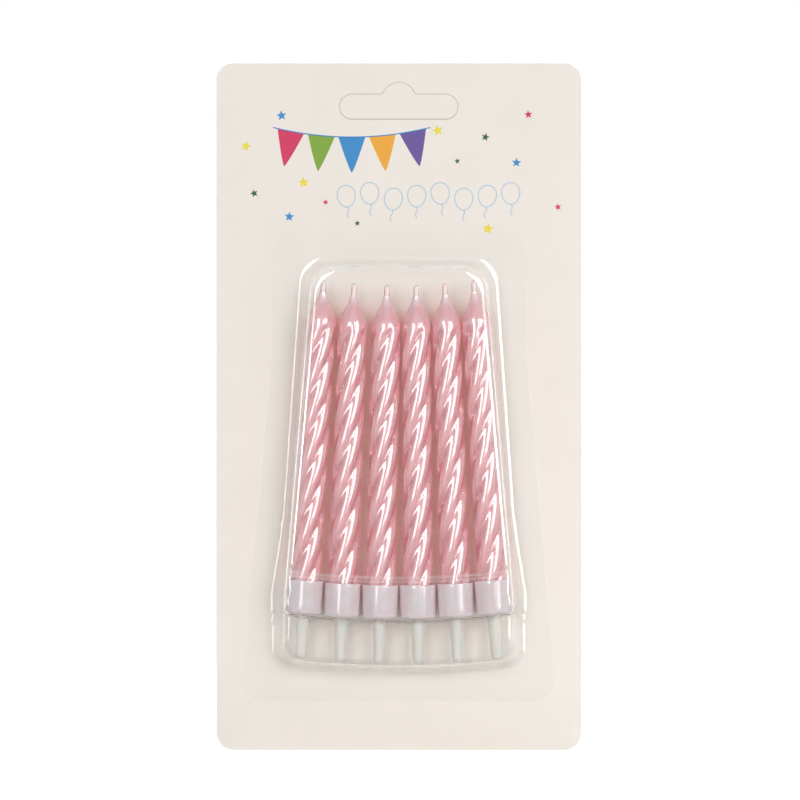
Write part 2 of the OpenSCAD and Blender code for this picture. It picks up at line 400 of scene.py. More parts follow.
    def let_lamps_through(self, share: float, tint: Rgb = (1, 1, 1)) -> None:
        """Lets lamps shine through the surface, so that what lies behind it is lit.

        Args:
            share: how much of their light goes through.
            tint: the colour that it takes on.
        """
        through = self.add("ShaderNodeBsdfTransparent")
        self.put(through, {"Color": tint})
        shadow = self.add("ShaderNodeLightPath").outputs["Is Shadow Ray"]
        self.show_instead(self.reckon("MULTIPLY", shadow, share), through)

    def relief(self, *layers: tuple[bpy.types.NodeSocket, float]) -> bpy.types.NodeSocket:
        """Bumps on the surface.

        Args:
            layers: one or more heights, each with its depth in metres.

        Returns:
            The direction that the surface seems to face.
        """
        normal = None
        for height, depth in layers:
            node = self.add("ShaderNodeBump")
            self.put(node, {"Distance": depth, "Height": height})
            if normal is not None:
                self.link(normal, node.inputs["Normal"])
            normal = node.outputs[0]
        return normal


@dataclass(frozen=True)
class WaxFinish:
    """Pearly pink wax: light sinks in, a thin hard gloss lies on top, and the wick shows where it is slim."""

    # Painted light and shade: the crest colour is painted paler where the flutes catch the lamps, and the groove
    # colour deeper where they are shaded.
    crest: Rgb = srgb(237, 168, 175)
    groove: Rgb = srgb(216, 119, 128)
    cloud: Rgb = srgb(238, 172, 176)
    core: Rgb = srgb(250, 226, 226)
    glow: Rgb = (0.97, 0.49, 0.44)
    cloud_share: float = 0.45
    core_shows: Pair = (0.75, 0)
    roughness: Pair = (0.26, 0.36)
    gloss_roughness: float = 0.045
    gloss_index: float = 2.5
    light_sinks_in: Pair = (0.9, 0.15)
    light_spreads: Triple = (1.0, 0.3, 0.26)
    depth_of_light: float = 4 * MM
    lamp_share: float = 0.7

    def material(self) -> bpy.types.Material:
        """Builds the wax: crests painted paler as painted light, grooves painted deeper as painted shade, cloudy
        pearl and shallow casting ripples.

        Returns:
            The wax's material.
        """
        made = Nodes(bpy.data.materials.new("pearl_wax"))
        # Painted light and shade on the flutes: the groove mask blends from the paler crest colour to the deeper
        # groove colour.
        fluted = made.blend(made.attribute("groove"), self.crest, self.groove)
        cloud = made.spread(made.noise(size=6 * MM, detail=4), (0.35, 0.7))
        colour = made.blend(made.reckon("MULTIPLY", cloud, self.cloud_share), fluted, self.cloud)
        slim = made.attribute("slim")
        straight_on = made.spread(made.facing(), (0.05, 0.5), self.core_shows)
        grain, ripples = made.noise(size=0.35 * MM, detail=2), made.noise(size=4 * MM, detail=2)
        made.put(made.shader, {
            "Base Color": made.blend(made.reckon("MULTIPLY", slim, straight_on), colour, self.core),
            "Roughness": made.spread(made.noise(size=0.5 * MM), (0.3, 0.75), self.roughness),
            "IOR": 1.45,
            "Specular IOR Level": 0.7,
            "Subsurface Weight": made.spread(slim, (0, 1), self.light_sinks_in),
            "Subsurface Radius": self.light_spreads,
            "Subsurface Scale": self.depth_of_light,
            "Coat Weight": 1.0,
            "Coat Roughness": self.gloss_roughness,
            "Coat IOR": self.gloss_index,
            "Normal": made.relief((grain, 0.0003 * MM), (ripples, 0.004 * MM)),
        })
        made.let_lamps_through(self.lamp_share, self.glow)
        return made.owner


@dataclass(frozen=True)
class WickFinish:
    """Cotton thread soaked in the same wax: a pale core seen through a pinker, glossy skin, which darkens towards
    the outline partly as painted shade.
    """

    strand: Rgb = srgb(255, 238, 236)
    hollow: Rgb = srgb(246, 212, 210)
    fibre: Rgb = srgb(255, 248, 246)
    # Partly painted shade: the skin colour is darker than the wax, so the wick darkens towards its outline.
    skin: Rgb = srgb(158, 70, 78)
    skin_and_shade_between: Pair = (0.25, 0.75)
    fibre_share: float = 0.5
    roughness: Pair = (0.3, 0.5)

    def material(self) -> bpy.types.Material:
        """Builds the waxed cotton with fine fibres along the strands.

        Returns:
            The wick's material.
        """
        made = Nodes(bpy.data.materials.new("waxed_cotton"))
        fibres = made.noise(size=0.12 * MM, detail=4, stretch=(1, 1, 0.25))
        strands = made.blend(made.attribute("groove"), self.strand, self.hollow)
        core = made.blend(made.spread(fibres, (0.4, 0.75), (0, self.fibre_share)), strands, self.fibre)
        made.put(made.shader, {
            # Towards the outline the colour turns to the skin's: partly wax seen at a slant, partly painted shade.
            "Base Color": made.blend(made.spread(made.facing(), self.skin_and_shade_between), core, self.skin),
            "Roughness": made.spread(fibres, (0.3, 0.7), self.roughness),
            "Subsurface Weight": 0.12,
            "Subsurface Radius": (1.0, 0.5, 0.45),
            "Subsurface Scale": 0.5 * MM,
            "Coat Weight": 0.5,
            "Coat Roughness": 0.2,
            "Normal": made.relief((fibres, 0.03 * MM)),
        })
        return made.owner


@dataclass(frozen=True)
class HolderFinish:
    """Milky moulded plastic: the wax shows through the cup dimly, and the empty spike is greyer."""

    milk: Rgb = srgb(255, 215, 219)
    cloud: Rgb = srgb(255, 227, 229)
    empty: Rgb = srgb(232, 230, 223)
    roughness: Pair = (0.06, 0.12)
    lamp_share: float = 0.02

    def material(self) -> bpy.types.Material:
        """Builds the plastic with fine upright draw marks from the mould and faint flow clouds.

        Returns:
            The holder's material.
        """
        made = Nodes(bpy.data.materials.new("milky_plastic"))
        draw_marks = made.noise(size=0.5 * MM, stretch=(1, 1, 0.04))
        cup = made.blend(made.spread(made.noise(size=3 * MM), (0.35, 0.7)), self.milk, self.cloud)
        made.put(made.shader, {
            "Base Color": made.blend(made.attribute("filled"), self.empty, cup),
            "Roughness": made.spread(draw_marks, (0.3, 0.7), self.roughness),
            "IOR": 1.49,
            "Transmission Weight": 0.08,
            "Subsurface Weight": 0.9,
            "Subsurface Radius": (1.0, 0.8, 0.8),
            "Subsurface Scale": 1.5 * MM,
            "Coat Weight": 1.0,
            "Coat Roughness": 0.03,
            "Coat IOR": 1.58,
            "Normal": made.relief((draw_marks, 0.004 * MM)),
        })
        made.let_lamps_through(self.lamp_share)
        return made.owner


@dataclass(frozen=True)
class FilmFinish:
    """Clear formed film, with the faint waviness that heating and drawing leave."""

    tint: Rgb = (0.996, 0.998, 0.998)
    flange: Rgb = (0.968, 0.981, 0.973)
    shade: float = 0.95
    shade_power: float = 3
    roughness: Pair = (0.01, 0.03)
    edge_index: float = 2.0

    def material(self) -> bpy.types.Material:
        """Builds the clear film.

        Lamps and bounced light pass straight through it, less what its slanting walls turn back: the cube of how
        far they are turned aside, times the shade.

        Returns:
            The film's material.
        """
        made = Nodes(bpy.data.materials.new("clear_film"))
        waves, pits = made.noise(size=9 * MM, detail=2), made.noise(size=1.5 * MM, detail=2)
        raised = made.attribute("raised")
        made.put(made.shader, {
            "Base Color": made.blend(raised, self.flange, self.tint),
            "Roughness": made.spread(made.noise(size=4 * MM, detail=4), (0.35, 0.75), self.roughness),
            "IOR": 1.53,
            "Transmission Weight": 1.0,
            "Coat Weight": made.attribute("bend"),
            "Coat Roughness": 0.03,
            "Coat IOR": self.edge_index,
            "Normal": made.relief((waves, 0.008 * MM), (pits, 0.0004 * MM)),
        })
        ray = made.add("ShaderNodeLightPath").outputs
        lit = made.reckon("MAXIMUM", ray["Is Shadow Ray"], ray["Is Diffuse Ray"])
        mirrored = made.reckon("SUBTRACT", ray["Is Glossy Ray"], ray["Is Transmission Ray"])
        turned_back = made.reckon("MULTIPLY", made.reckon("POWER", made.facing(), self.shade_power),
                                  made.reckon("MULTIPLY", raised, self.shade))
        open_air = made.add("ShaderNodeBsdfTransparent")
        made.put(open_air, {"Color": made.reckon("SUBTRACT", 1.0, turned_back)})
        made.show_instead(made.reckon("MAXIMUM", lit, mirrored), open_air)
        return made.owner


@dataclass(frozen=True)
class BoardFinish:
    """Coated board: a warm white gloss front, grey cut edges and a plain fibrous back."""

    front: Rgb = srgb(242, 235, 225)
    warmer: Rgb = srgb(244, 237, 228)
    cut: Rgb = srgb(214, 208, 198)
    back: Rgb = srgb(222, 217, 208)
    fibre: Rgb = srgb(236, 232, 225)
    speck: Rgb = srgb(196, 188, 176)
    coating_to: Pair = (0.01 * MM, 0.05 * MM)
    bare_from: Pair = (0.45 * MM, 0.49 * MM)
    roughness: Pair = (0.34, 0.46)
    cut_roughness: float = 0.85

    def material(self) -> bpy.types.Material:
        """Builds the board. Its depth from front to back chooses between coating, cut edge and bare fibre.

        Returns:
            The card's material.
        """
        made = Nodes(bpy.data.materials.new("coated_board"))
        depth = made.coordinate("Y")
        behind = made.spread(depth, self.bare_from)
        inside = made.spread(depth, self.coating_to)
        fibres = made.noise(size=0.6 * MM, detail=6, stretch=(1, 1, 0.35), roughness=0.65)
        bare = made.blend(made.spread(fibres, (0.35, 0.7)), self.back, self.fibre)
        specks = made.spread(made.noise(size=0.9 * MM, detail=2), (0.68, 0.8))
        tone = made.blend(made.spread(made.noise(size=14 * MM), (0.3, 0.7)), self.front, self.warmer)
        gloss = made.spread(made.noise(size=1.2 * MM, detail=4), (0.3, 0.7), self.roughness)
        made.put(made.shader, {
            "Base Color": made.blend(behind, made.blend(inside, tone, self.cut),
                                     made.blend(specks, bare, self.speck)),
            "Roughness": made.reckon("MAXIMUM", gloss, made.reckon("MULTIPLY", inside, self.cut_roughness)),
            "Specular IOR Level": 0.35,
            "Normal": made.relief((fibres, 0.006 * MM), (made.noise(size=5 * MM), 0.02 * MM)),
        })
        return made.owner


@dataclass(frozen=True)
class InkFinish:
    """One printed colour, laid on the coated board with the slight unevenness of print."""

    name: str
    colour: Rgb
    paleness: float = 0.35
    mottle_share: float = 0.22
    roughness: Pair = (0.3, 0.42)

    def material(self) -> bpy.types.Material:
        """Builds the ink with a fine mottle where it takes less well.

        Returns:
            The ink's material.
        """
        made = Nodes(bpy.data.materials.new(f"ink_{self.name}"))
        mottle = made.spread(made.noise(size=0.25 * MM, detail=4), (0.45, 0.8), (0, self.mottle_share))
        paler = tuple(part + (1 - part) * self.paleness for part in self.colour)
        made.put(made.shader, {
            "Base Color": made.blend(mottle, self.colour, paler),
            "Roughness": made.spread(made.noise(size=0.8 * MM), (0.3, 0.7), self.roughness),
            "Specular IOR Level": 0.4,
            "Normal": made.relief((made.noise(size=0.6 * MM, detail=5), 0.004 * MM)),
        })
        return made.owner


class Ink(Enum):
    """The colours that the card is printed in, and the grey of the painted shade along the slot."""

    CRIMSON = InkFinish("crimson", srgb(212, 42, 90))
    LEAF = InkFinish("leaf", srgb(124, 166, 46))
    SKY = InkFinish("sky", srgb(48, 138, 202))
    ORANGE = InkFinish("orange", srgb(242, 170, 48))
    VIOLET = InkFinish("violet", srgb(100, 78, 152))
    YELLOW = InkFinish("yellow", srgb(242, 222, 62))
    FOREST = InkFinish("forest", srgb(22, 84, 62))
    PALE_BLUE = InkFinish("pale_blue", srgb(168, 200, 220))
    # Painted shade: a grey that stands for the shade in the slot's cut, not an ink.
    PAINTED_SLOT_SHADE = InkFinish("painted_slot_shade", srgb(206, 197, 187))


# ---------------------------------------------------------------- candle sets


@dataclass(frozen=True)
class Row:
    """Where each candle set stands: side by side along a sagging arc, and fanned inwards."""

    pitch: float = 10.25 * MM
    arc: float = 246 * MM
    drop: float = 138 * MM
    depth: float = 5.15 * MM
    lean: float = math.radians(3.5)
    lean_shares: tuple[float, ...] = (1, 0.62, 0.36, -0.08, -0.54, -1)
    flute_shares: tuple[float, ...] = (0.655, 0.147, 0.537, 0.58, 0.93, 0.834)

    def numbers(self) -> range:
        """The candles' numbers, counted from the left."""
        return range(1, len(self.lean_shares) + 1)

    def across(self, number: float) -> float:
        """How far to the right of the middle a candle's cup stands."""
        return (number - (len(self.lean_shares) + 1) / 2) * self.pitch

    def place(self, points: Array, number: int) -> Array:
        """Sets points from a candle's own upright axis into the pack.

        The axis starts at the cup's underside. It turns about Y by the candle's lean, and then moves to its seat.

        Args:
            points: places round the upright axis, with x, y and z last.
            number: which candle they belong to.

        Returns:
            The places in the pack.
        """
        angle = self.lean * self.lean_shares[number - 1]
        across = self.across(number)
        rise = self.arc - math.sqrt(self.arc**2 - across**2)
        x, y, z = points[..., 0], points[..., 1], points[..., 2]
        return np.stack([
            x * math.cos(angle) + z * math.sin(angle) + across,
            y - self.depth,
            z * math.cos(angle) - x * math.sin(angle) + rise - self.drop,
        ], axis=-1)


@dataclass
class Candle:
    """The wax body: twisted flutes, and a neck drawn in round the wick."""

    foot: float = 0.81 * MM
    fluted: float = 77.6 * MM
    neck: float = 8.4 * MM
    foot_radius: float = 4.15 * MM
    shoulder_radius: float = 4.0 * MM
    neck_radius: float = 0.87 * MM
    bore_radius: float = 0.77 * MM
    thinnest_wall: float = 0.1 * MM
    chamfer: float = 0.15 * MM
    flutes: int = 5
    flute_depth: float = 0.47 * MM
    groove_softness: float = 0.38
    pitch: float = 55.3 * MM
    run_out: Pair = (2.2 * MM, 0.5 * MM)
    run_out_level: float = 1.15
    run_out_softness: float = 0.12
    cone: float = 0.35
    wavy_from: float = 0.4
    neck_waves: tuple[Triple, ...] = ((1, 9 * MM, 0.05 * MM), (2, 5 * MM, 0.03 * MM), (3, 3 * MM, 0.015 * MM))
    body_wave: Pair = (31 * MM, 0.03 * MM)
    slim_between: Pair = (0.9 * MM, 2.4 * MM)
    columns: int = 150
    rings: int = 120
    neck_rings: int = 44
    bore_rings: int = 30
    seed: int = 400
    full_round: float = 6.3

    def outline(self, height: Array) -> Array:
        """Radius over the crests.

        It narrows evenly to the shoulder. Above it, a straight cone and half a cosine wave are mixed.

        Args:
            height: heights above the foot.

        Returns:
            The radius at each height.
        """
        share = np.clip((height - self.fluted) / self.neck, 0, 1)
        narrow = self.cone * (1 - share) + (1 - self.cone) * (1 + np.cos(math.pi * share)) / 2
        taper = (self.shoulder_radius - self.foot_radius) * np.clip(height / self.fluted, 0, 1)
        return self.neck_radius + (self.foot_radius + taper - self.neck_radius) * narrow

    def hollow(self, phase: Array) -> Array:
        """How deep the flutes are at a phase.

        The crest is the absolute cosine of half the phase, rounded off where it meets zero, so that crests are
        broad and grooves are narrow.

        Args:
            phase: the angle within a flute, a full turn from crest to crest.

        Returns:
            The depth, from 0 on a crest to 1 in a groove.
        """
        soft = self.groove_softness
        ridge = np.sqrt(np.cos(phase / 2) ** 2 + soft**2)
        return 1 - (ridge - soft) / (math.sqrt(1 + soft**2) - soft)

    def flute(self, phase: Array, height: Array) -> Array:
        """How deep the flutes are at a phase and a height.

        Near the shoulder a level that rises softly is taken off the depth, and what is left is kept above zero,
        so that each groove ends in a rounded point.

        Args:
            phase: the angle within a flute.
            height: the height above the foot.

        Returns:
            The depth, from 0 on a crest to 1 in a groove.
        """
        start, end = self.run_out
        level = self.run_out_level * smooth_step(height, self.fluted - start, self.fluted + end)
        sunk = self.hollow(phase)
        ending = soft_max(sunk - level, 0, self.run_out_softness * np.minimum(level, 1))
        return np.where(level > 0, ending, sunk) * (1 - smooth_step(height, self.fluted, self.fluted + 2 * end))

    def roughen(self, radius: Array, height: Array, turn: Array, number: int) -> Array:
        """Makes the wax softly uneven.

        The neck gets sine waves that climb and run round it, and the body gets one long wave that bows it.

        Args:
            radius: the true radius at each point.
            height: the height above the foot.
            turn: the angle round the axis.
            number: which candle it is, which sets how the waves lie.

        Returns:
            The uneven radius, which always leaves a wall round the bore.
        """
        seed = np.random.default_rng(self.seed + number)
        above = smooth_step(height, self.fluted, self.fluted + self.wavy_from * self.neck)
        waves = sum(
            amount * np.sin(rounds * turn + TURN * height / length + seed.uniform(0, self.full_round))
            for rounds, length, amount in self.neck_waves
        )
        length, amount = self.body_wave
        bend = amount * np.sin(TURN * height / length + turn + seed.uniform(0, self.full_round))
        return np.maximum(radius + above * waves + (1 - above) * bend, self.bore_radius + self.thinnest_wall)

    def build(self, row: Row, number: int, finish: bpy.types.Material) -> None:
        """Makes the wax body of one candle as rings up the outside, over the neck and down the bore.

        Each ring is turned on by the pitch, so that a column of points runs along its flute.

        Args:
            row: where the candles stand.
            number: which candle it is.
            finish: the wax.
        """
        low = np.linspace(0, self.fluted, self.rings)
        high = self.fluted + self.neck * np.linspace(0, 1, self.neck_rings + 1)[1:]
        height = np.concatenate([[0], low + (low == 0) * self.chamfer, high])[:, None]
        column = around(self.columns)
        turn = column + TURN * height / self.pitch
        phase = np.broadcast_to(self.flutes * column - TURN * row.flute_shares[number - 1], turn.shape)
        sunk = self.flute(phase, height)
        radius = self.outline(height) - self.flute_depth * sunk
        radius[0] -= self.chamfer
        outside = swept(self.roughen(radius, height, turn, number), turn, height)
        down = np.linspace(self.fluted + self.neck, 0, self.bore_rings)[:, None]
        bore = swept(self.bore_radius, column + TURN * down / self.pitch, down)
        points = np.concatenate([outside, bore])
        points[..., 2] += self.foot
        faces = lattice(len(points), self.columns, closed=True)
        made = build_object(f"spiral_wax_{number}", (row.place(points, number), faces))
        paint_value(made, "groove", np.concatenate([sunk, np.zeros(bore.shape[:2])]))
        reach = np.hypot(points[..., 0], points[..., 1])
        paint_value(made, "slim", 1 - smooth_step(reach, *self.slim_between))
        finish_piece(made, finish, f"candle_set_{number}", f"candle_{number}")


@dataclass
class Wick:
    """A cotton wick dipped in wax: three strands twisted loosely, and a round tip."""

    foot: float = 0.82 * MM
    top: float = 89.7 * MM
    radius: float = 0.745 * MM
    strands: int = 3
    strand_depth: float = 0.04 * MM
    twist: float = 16 * MM
    bead: float = 0.05 * MM
    bead_length: float = 0.5 * MM
    bead_below: Pair = (1.2, 2.2)
    hidden_up_to: float = 84 * MM
    seen_from: float = 84.3 * MM
    columns: int = 36
    rings: int = 30
    cap_rings: int = 12
    seed: int = 700

    def build(self, row: Row, number: int, finish: bpy.types.Material) -> None:
        """Makes the wick of one candle as rings from the cup's floor to its tip.

        Above the straight run the radius follows a quarter circle. The strands are a cosine wave round the wick
        that turns as it climbs, and a bell curve swells it where a bead of wax has set near the tip.

        Args:
            row: where the candles stand.
            number: which candle it is.
            finish: the waxed cotton.
        """
        seed = np.random.default_rng(self.seed + number)
        straight = np.concatenate([
            np.linspace(self.foot, self.hidden_up_to, self.rings),
            np.linspace(self.seen_from, self.top - self.radius, self.rings),
        ])
        cap = np.linspace(0, math.pi / 2, self.cap_rings)[1:-1]
        height = np.concatenate([straight, self.top - self.radius + self.radius * np.sin(cap)])[:, None]
        shrink = np.concatenate([np.ones(len(straight)), np.cos(cap)])[:, None]
        turn = around(self.columns)
        sunk = (1 - np.cos(self.strands * (turn - TURN * height / self.twist))) / 2
        bead = np.exp(-((height - self.top + seed.uniform(*self.bead_below) * MM) / self.bead_length) ** 2)
        radius = (self.radius - self.strand_depth * sunk + self.bead * bead) * shrink
        points, faces = capped(swept(radius, turn, height), last=[0, 0, self.top], first=[0, 0, self.foot])
        made = build_object(f"cotton_wick_{number}", (row.place(points, number), faces))
        paint_value(made, "groove", np.concatenate([sunk.ravel(), [0, 0]]))
        finish_piece(made, finish, f"candle_set_{number}", f"wick_{number}")


@dataclass
class Holder:
    """One moulding: a cup with a rounded lower edge, and a blunt spike."""

    mouth: float = 4.9 * MM
    foot: float = 4.725 * MM
    height: float = 9.1 * MM
    wall: float = 0.52 * MM
    floor: float = 0.8 * MM
    floor_fillet: float = 0.3 * MM
    edge: float = 0.8 * MM
    rim: float = 0.16 * MM
    spike: float = 12.4 * MM
    root: float = 1.9 * MM
    tip: float = 1.5 * MM
    tip_edge: float = 1.1 * MM
    root_fillet: float = 0.35 * MM
    filled_between: Pair = (-1.5 * MM, 0.8 * MM)
    columns: int = 96
    tip_steps: int = 8
    edge_steps: int = 9
    fillet_steps: int = 5
    spike_rings: int = 16
    outside_rings: int = 14
    inside_rings: int = 12

    def profile(self) -> Array:
        """Half of the moulding's outline.

        It runs from the spike's tip up to the rim and down the inside of the cup, as straight lines and arcs.

        Returns:
            Reach and height of each point.
        """
        shoulder, floor, steps = self.height - self.rim, self.floor + self.floor_fillet, self.fillet_steps
        spike = np.stack([
            np.linspace(self.tip, self.root, self.spike_rings),
            np.linspace(self.tip_edge - self.spike, -self.root_fillet, self.spike_rings),
        ], axis=-1)
        up = np.linspace(self.edge, shoulder, self.outside_rings)
        down = np.linspace(shoulder, floor, self.inside_rings)
        outside = np.stack([self.foot + (self.mouth - self.foot) * up / self.height, up], axis=-1)
        inner = self.mouth - self.wall + (self.foot - self.mouth) * (1 - down / self.height)
        inside = np.stack([inner, down], axis=-1)
        return np.concatenate([
            arc(self.tip - self.tip_edge, self.tip_edge - self.spike, self.tip_edge, -90, 0, self.tip_steps),
            spike[1:],
            arc(self.root + self.root_fillet, -self.root_fillet, self.root_fillet, 180, 90, steps)[1:],
            arc(self.foot - self.edge, self.edge, self.edge, -90, 0, self.edge_steps),
            outside[1:],
            arc(self.mouth - self.rim, shoulder, self.rim, 0, 90, steps)[1:],
            arc(self.mouth - self.wall + self.rim, shoulder, self.rim, 90, 180, steps),
            inside[1:],
            arc(self.foot - self.wall - self.floor_fillet, floor, self.floor_fillet, 0, -90, steps)[1:],
        ])

    def build(self, row: Row, number: int, finish: bpy.types.Material) -> None:
        """Makes the holder of one candle: its outline turned about the candle's axis, closed at both ends.

        Args:
            row: where the candles stand.
            number: which candle it belongs to.
            finish: the milky plastic.
        """
        outline = self.profile()
        rings = swept(outline[:, :1], around(self.columns), outline[:, 1:])
        points, faces = capped(rings, last=[0, 0, self.floor], first=[0, 0, -self.spike])
        made = build_object(f"cup_holder_{number}", (row.place(points, number), faces))
        paint_value(made, "filled", smooth_step(points[:, 2], *self.filled_between))
        finish_piece(made, finish, f"candle_set_{number}", f"holder_{number}")


# ---------------------------------------------------------------- blister


class Pocket(Enum):
    """The outlines that the blister's pockets follow."""

    CANDLES = "candles"
    CUPS = "cups"
    SPIKES = "spikes"


class Rings:
    """The film's rings, gathered one after the other from the flange's edge to the middle of the front."""

    def __init__(self) -> None:
        """Starts with no rings."""
        self.reaches: list[Array] = []
        self.depths: list[Array] = []

    def add(self, reach: Array, depth: Number) -> None:
        """Adds a ring with its reach in each direction, and one depth or a depth for each direction."""
        self.reaches.append(reach)
        self.depths.append(np.broadcast_to(depth, reach.shape))


def rounding(start: float, end: float, steps: int) -> list[Pair]:
    """Steps round an edge, as shares of its radius.

    Args:
        start: the angle before the first step, in degrees.
        end: the last angle, in degrees.
        steps: how many angles, with the start.

    Returns:
        One less the sine and one less the cosine at each angle after the start.
    """
    angles = np.linspace(math.radians(start), math.radians(end), steps)[1:]
    return [(1 - math.sin(angle), 1 - math.cos(angle)) for angle in angles]


@dataclass
class Blister:
    """The formed film: a flange, a pocket round the candles, a raised band round the cups, and a shallow pocket.

    The film is one surface of rings round a middle point. Every ring is found by how far it reaches in each
    direction, and the outlines that they follow are hulls of circles. A circle is its place across and up the
    card, and its radius.
    """

    row: Row
    # The film, how far it lies off the card, and how far it spreads at the foot and sags.
    film: float = 0.27 * MM
    lift: float = 0.02 * MM
    spread: float = 0.3 * MM
    sag: float = 0.07 * MM
    sag_between: Pair = (1 * MM, 7 * MM)
    sag_waves: Pair = (7 * MM, 11 * MM)
    # How far the walls lean in, from square to the card.
    top_draft: float = math.radians(13)
    waist_draft: float = math.radians(7)
    cup_draft: float = math.radians(17.5)
    end_draft: float = math.radians(15.5)
    ledge_draft: float = math.radians(5)
    # Depths of the faces, measured behind the film.
    candle_front: float = 9.65 * MM
    band_front: float = 10.3 * MM
    shallow: float = 7.55 * MM
    # Roundings of the outlines, and of the profile's edge and foot.
    corner: float = 5 * MM
    top_corner: float = 7.5 * MM
    ledge_corner: float = 2.2 * MM
    edge: float = 1.5 * MM
    foot: float = 1.1 * MM
    ledge_fillet: Pair = (0.4, 0.3)
    ledge_room: Pair = (0.4 * MM, 2.5 * MM)
    # Where the outlines lie beside the candles, their cups and their spikes.
    lip: float = -0.3 * MM
    lip_height: float = 4 * MM
    flare: float = 14 * MM
    wick_top: float = 90 * MM
    cup_top: float = 9.1 * MM
    beside_candle: float = 4.2 * MM
    beside_rim: float = 5.4 * MM
    beside_foot: float = 5.9 * MM
    above_wick: float = 4 * MM
    below_cups: float = 12.8 * MM
    step_up: float = 10.1 * MM
    ledge_below: float = 0.4 * MM
    step_soft: Pair = (1.2 * MM, 0.3 * MM)
    # The flange above, beside and below the pockets.
    seals: Triple = (7.8 * MM, 9.1 * MM, 8.4 * MM)
    flange_corner: float = 5.4 * MM
    flange_upright: float = 27 * MM
    flange_bevel: Pair = (0.12 * MM, 0.4 * MM)
    # How softly the outlines run into each other.
    deep_blend: float = 0.6 * MM
    roof_blend: float = 0.25 * MM
    # The middle point, and how the outlines are worked out from it.
    middle_z: float = -92 * MM
    middle_radius: float = 2 * MM
    far_depth: float = 7 * MM
    most_drawn_in: Pair = (-0.7, -2.2)
    row_circles: int = 33
    hull_lines: int = 1800
    least_cosine: float = 0.02
    least_step: float = 0.02 * MM
    # The points' directions, closer together beside the step.
    columns: int = 720
    first_columns: int = 4001
    close_at: float = 1.5 * MM
    close_within: float = 4 * MM
    closeness: float = 2.5
    # Rings on the flange, the first wall and the shallow roof, and the start, end and count of the angles
    # round the foot, the roof's edge, the ledge's foot and the front's edge.
    flange_rings: int = 3
    side_rings: int = 4
    roof_rings: int = 4
    foot_round: tuple[float, float, int] = (0, 75, 6)
    roof_round: tuple[float, float, int] = (15, 90, 8)
    ledge_round: tuple[float, float, int] = (0, 85, 6)
    front_round: tuple[float, float, int] = (12, 90, 11)
    # Rings on the front, as shares of the way and as steps in millimetres.
    to_step: tuple[float, ...] = (0.05, 0.3, 0.65)
    over_step: tuple[float, float, int] = (1.2, 0.25, 13)
    over_step_inside: Pair = (0.975, 0.005)
    to_middle: tuple[float, ...] = (0.95, 0.8, 0.6, 0.4, 0.2, 0.07)
    # How its gloss and its shade are spread.
    bend_between: Pair = (0.12, 0.4)
    quiet: float = 0.2
    quiet_below: float = 2 * MM
    quiet_between: Pair = (-4 * MM, 4 * MM)
    shade_between: Pair = (0.3 * MM, 1.5 * MM)
    lit_between: Pair = (-51 * MM, -44 * MM)
    lit_share: float = 0.66

    def __post_init__(self) -> None:
        """Works out where the pockets' walls meet the card, from the candles that they hold."""
        depth, lean = self.row.depth, self.row.lean
        outer = self.row.across(self.row.numbers()[-1])
        top_slant = depth * math.tan(self.top_draft)
        self.middle = np.array([0, self.middle_z])
        self.arc_centre = self.row.arc - self.row.drop
        self.seat_z = self.arc_centre - math.sqrt(self.row.arc**2 - outer**2)
        self.top_x = outer - self.wick_top * math.sin(lean) + self.beside_candle + top_slant
        self.top_z = self.seat_z + self.wick_top * math.cos(lean) + self.above_wick + top_slant
        rim_x = outer - self.cup_top * math.sin(lean)
        self.waist_x = rim_x + self.beside_rim + depth * math.tan(self.waist_draft)
        self.waist_z = self.seat_z + self.cup_top
        self.low_x = outer + self.beside_foot + depth * math.tan(self.cup_draft)
        share = self.flare / (self.top_z - self.corner - self.waist_z)
        self.flare_x = self.waist_x + (self.top_x - self.waist_x) * share
        self.floor_arc = self.row.arc + self.below_cups + depth * math.tan(self.end_draft)
        self.step_arc = self.row.arc - self.step_up
        self.ledge_arc = self.row.arc + self.ledge_below + self.shallow * math.tan(self.ledge_draft)
        self.angles = np.linspace(-math.pi, math.pi, self.first_columns)
        self.trace()
        self.angles = self.even_angles()
        self.trace()

    def trace(self) -> None:
        """Finds how the three outlines reach in each direction, and how that changes with depth and drawing in.

        The changes are differences between two hulls over the distance between them. They are kept from
        running away in directions that nearly follow a wall.
        """
        self.lines = {}
        outlines = {
            Pocket.CANDLES: self.candle_circles, Pocket.CUPS: self.cup_circles, Pocket.SPIKES: self.spike_circles,
        }
        for pocket, circles in outlines.items():
            start = self.reach(circles(0, -self.spread))
            deeper = self.reach(circles(self.far_depth, -self.spread))
            smaller = self.reach(circles(0, MM - self.spread))
            by_depth = np.maximum((deeper - start) / self.far_depth, self.most_drawn_in[0])
            self.lines[pocket] = (start, by_depth, np.maximum((smaller - start) / MM, self.most_drawn_in[1]))

    def pairs(self, x: float, z: float, radius: float) -> list[Triple]:
        """A circle on each side."""
        return [(side * x, z, radius) for side in (-1, 1)]

    def low_row(self, half: float, arc_radius: float, radius: float) -> list[Triple]:
        """Circles along an arc that sags in the middle, out to half a width on both sides."""
        across = np.linspace(-half, half, self.row_circles)
        return [(x, self.arc_centre - math.sqrt(arc_radius**2 - x * x), radius) for x in across]

    def core(self) -> list[Triple]:
        """The circle at the middle, which keeps every ring round it."""
        return [(0, self.middle_z, self.middle_radius)]

    def candle_circles(self, depth: float, more_in: float) -> Array:
        """Circles that the outline round the candles wraps.

        Args:
            depth: distance from the card.
            more_in: how far the outline is drawn in beyond its draft.

        Returns:
            The circles, one row each.
        """
        high = depth * math.tan(self.top_draft) + more_in + self.top_corner
        low = self.waist_x - depth * math.tan(self.waist_draft) - more_in - self.corner
        return np.array(self.pairs(self.top_x - high, self.top_z - high, self.top_corner)
                        + self.pairs(low, self.waist_z, self.corner))

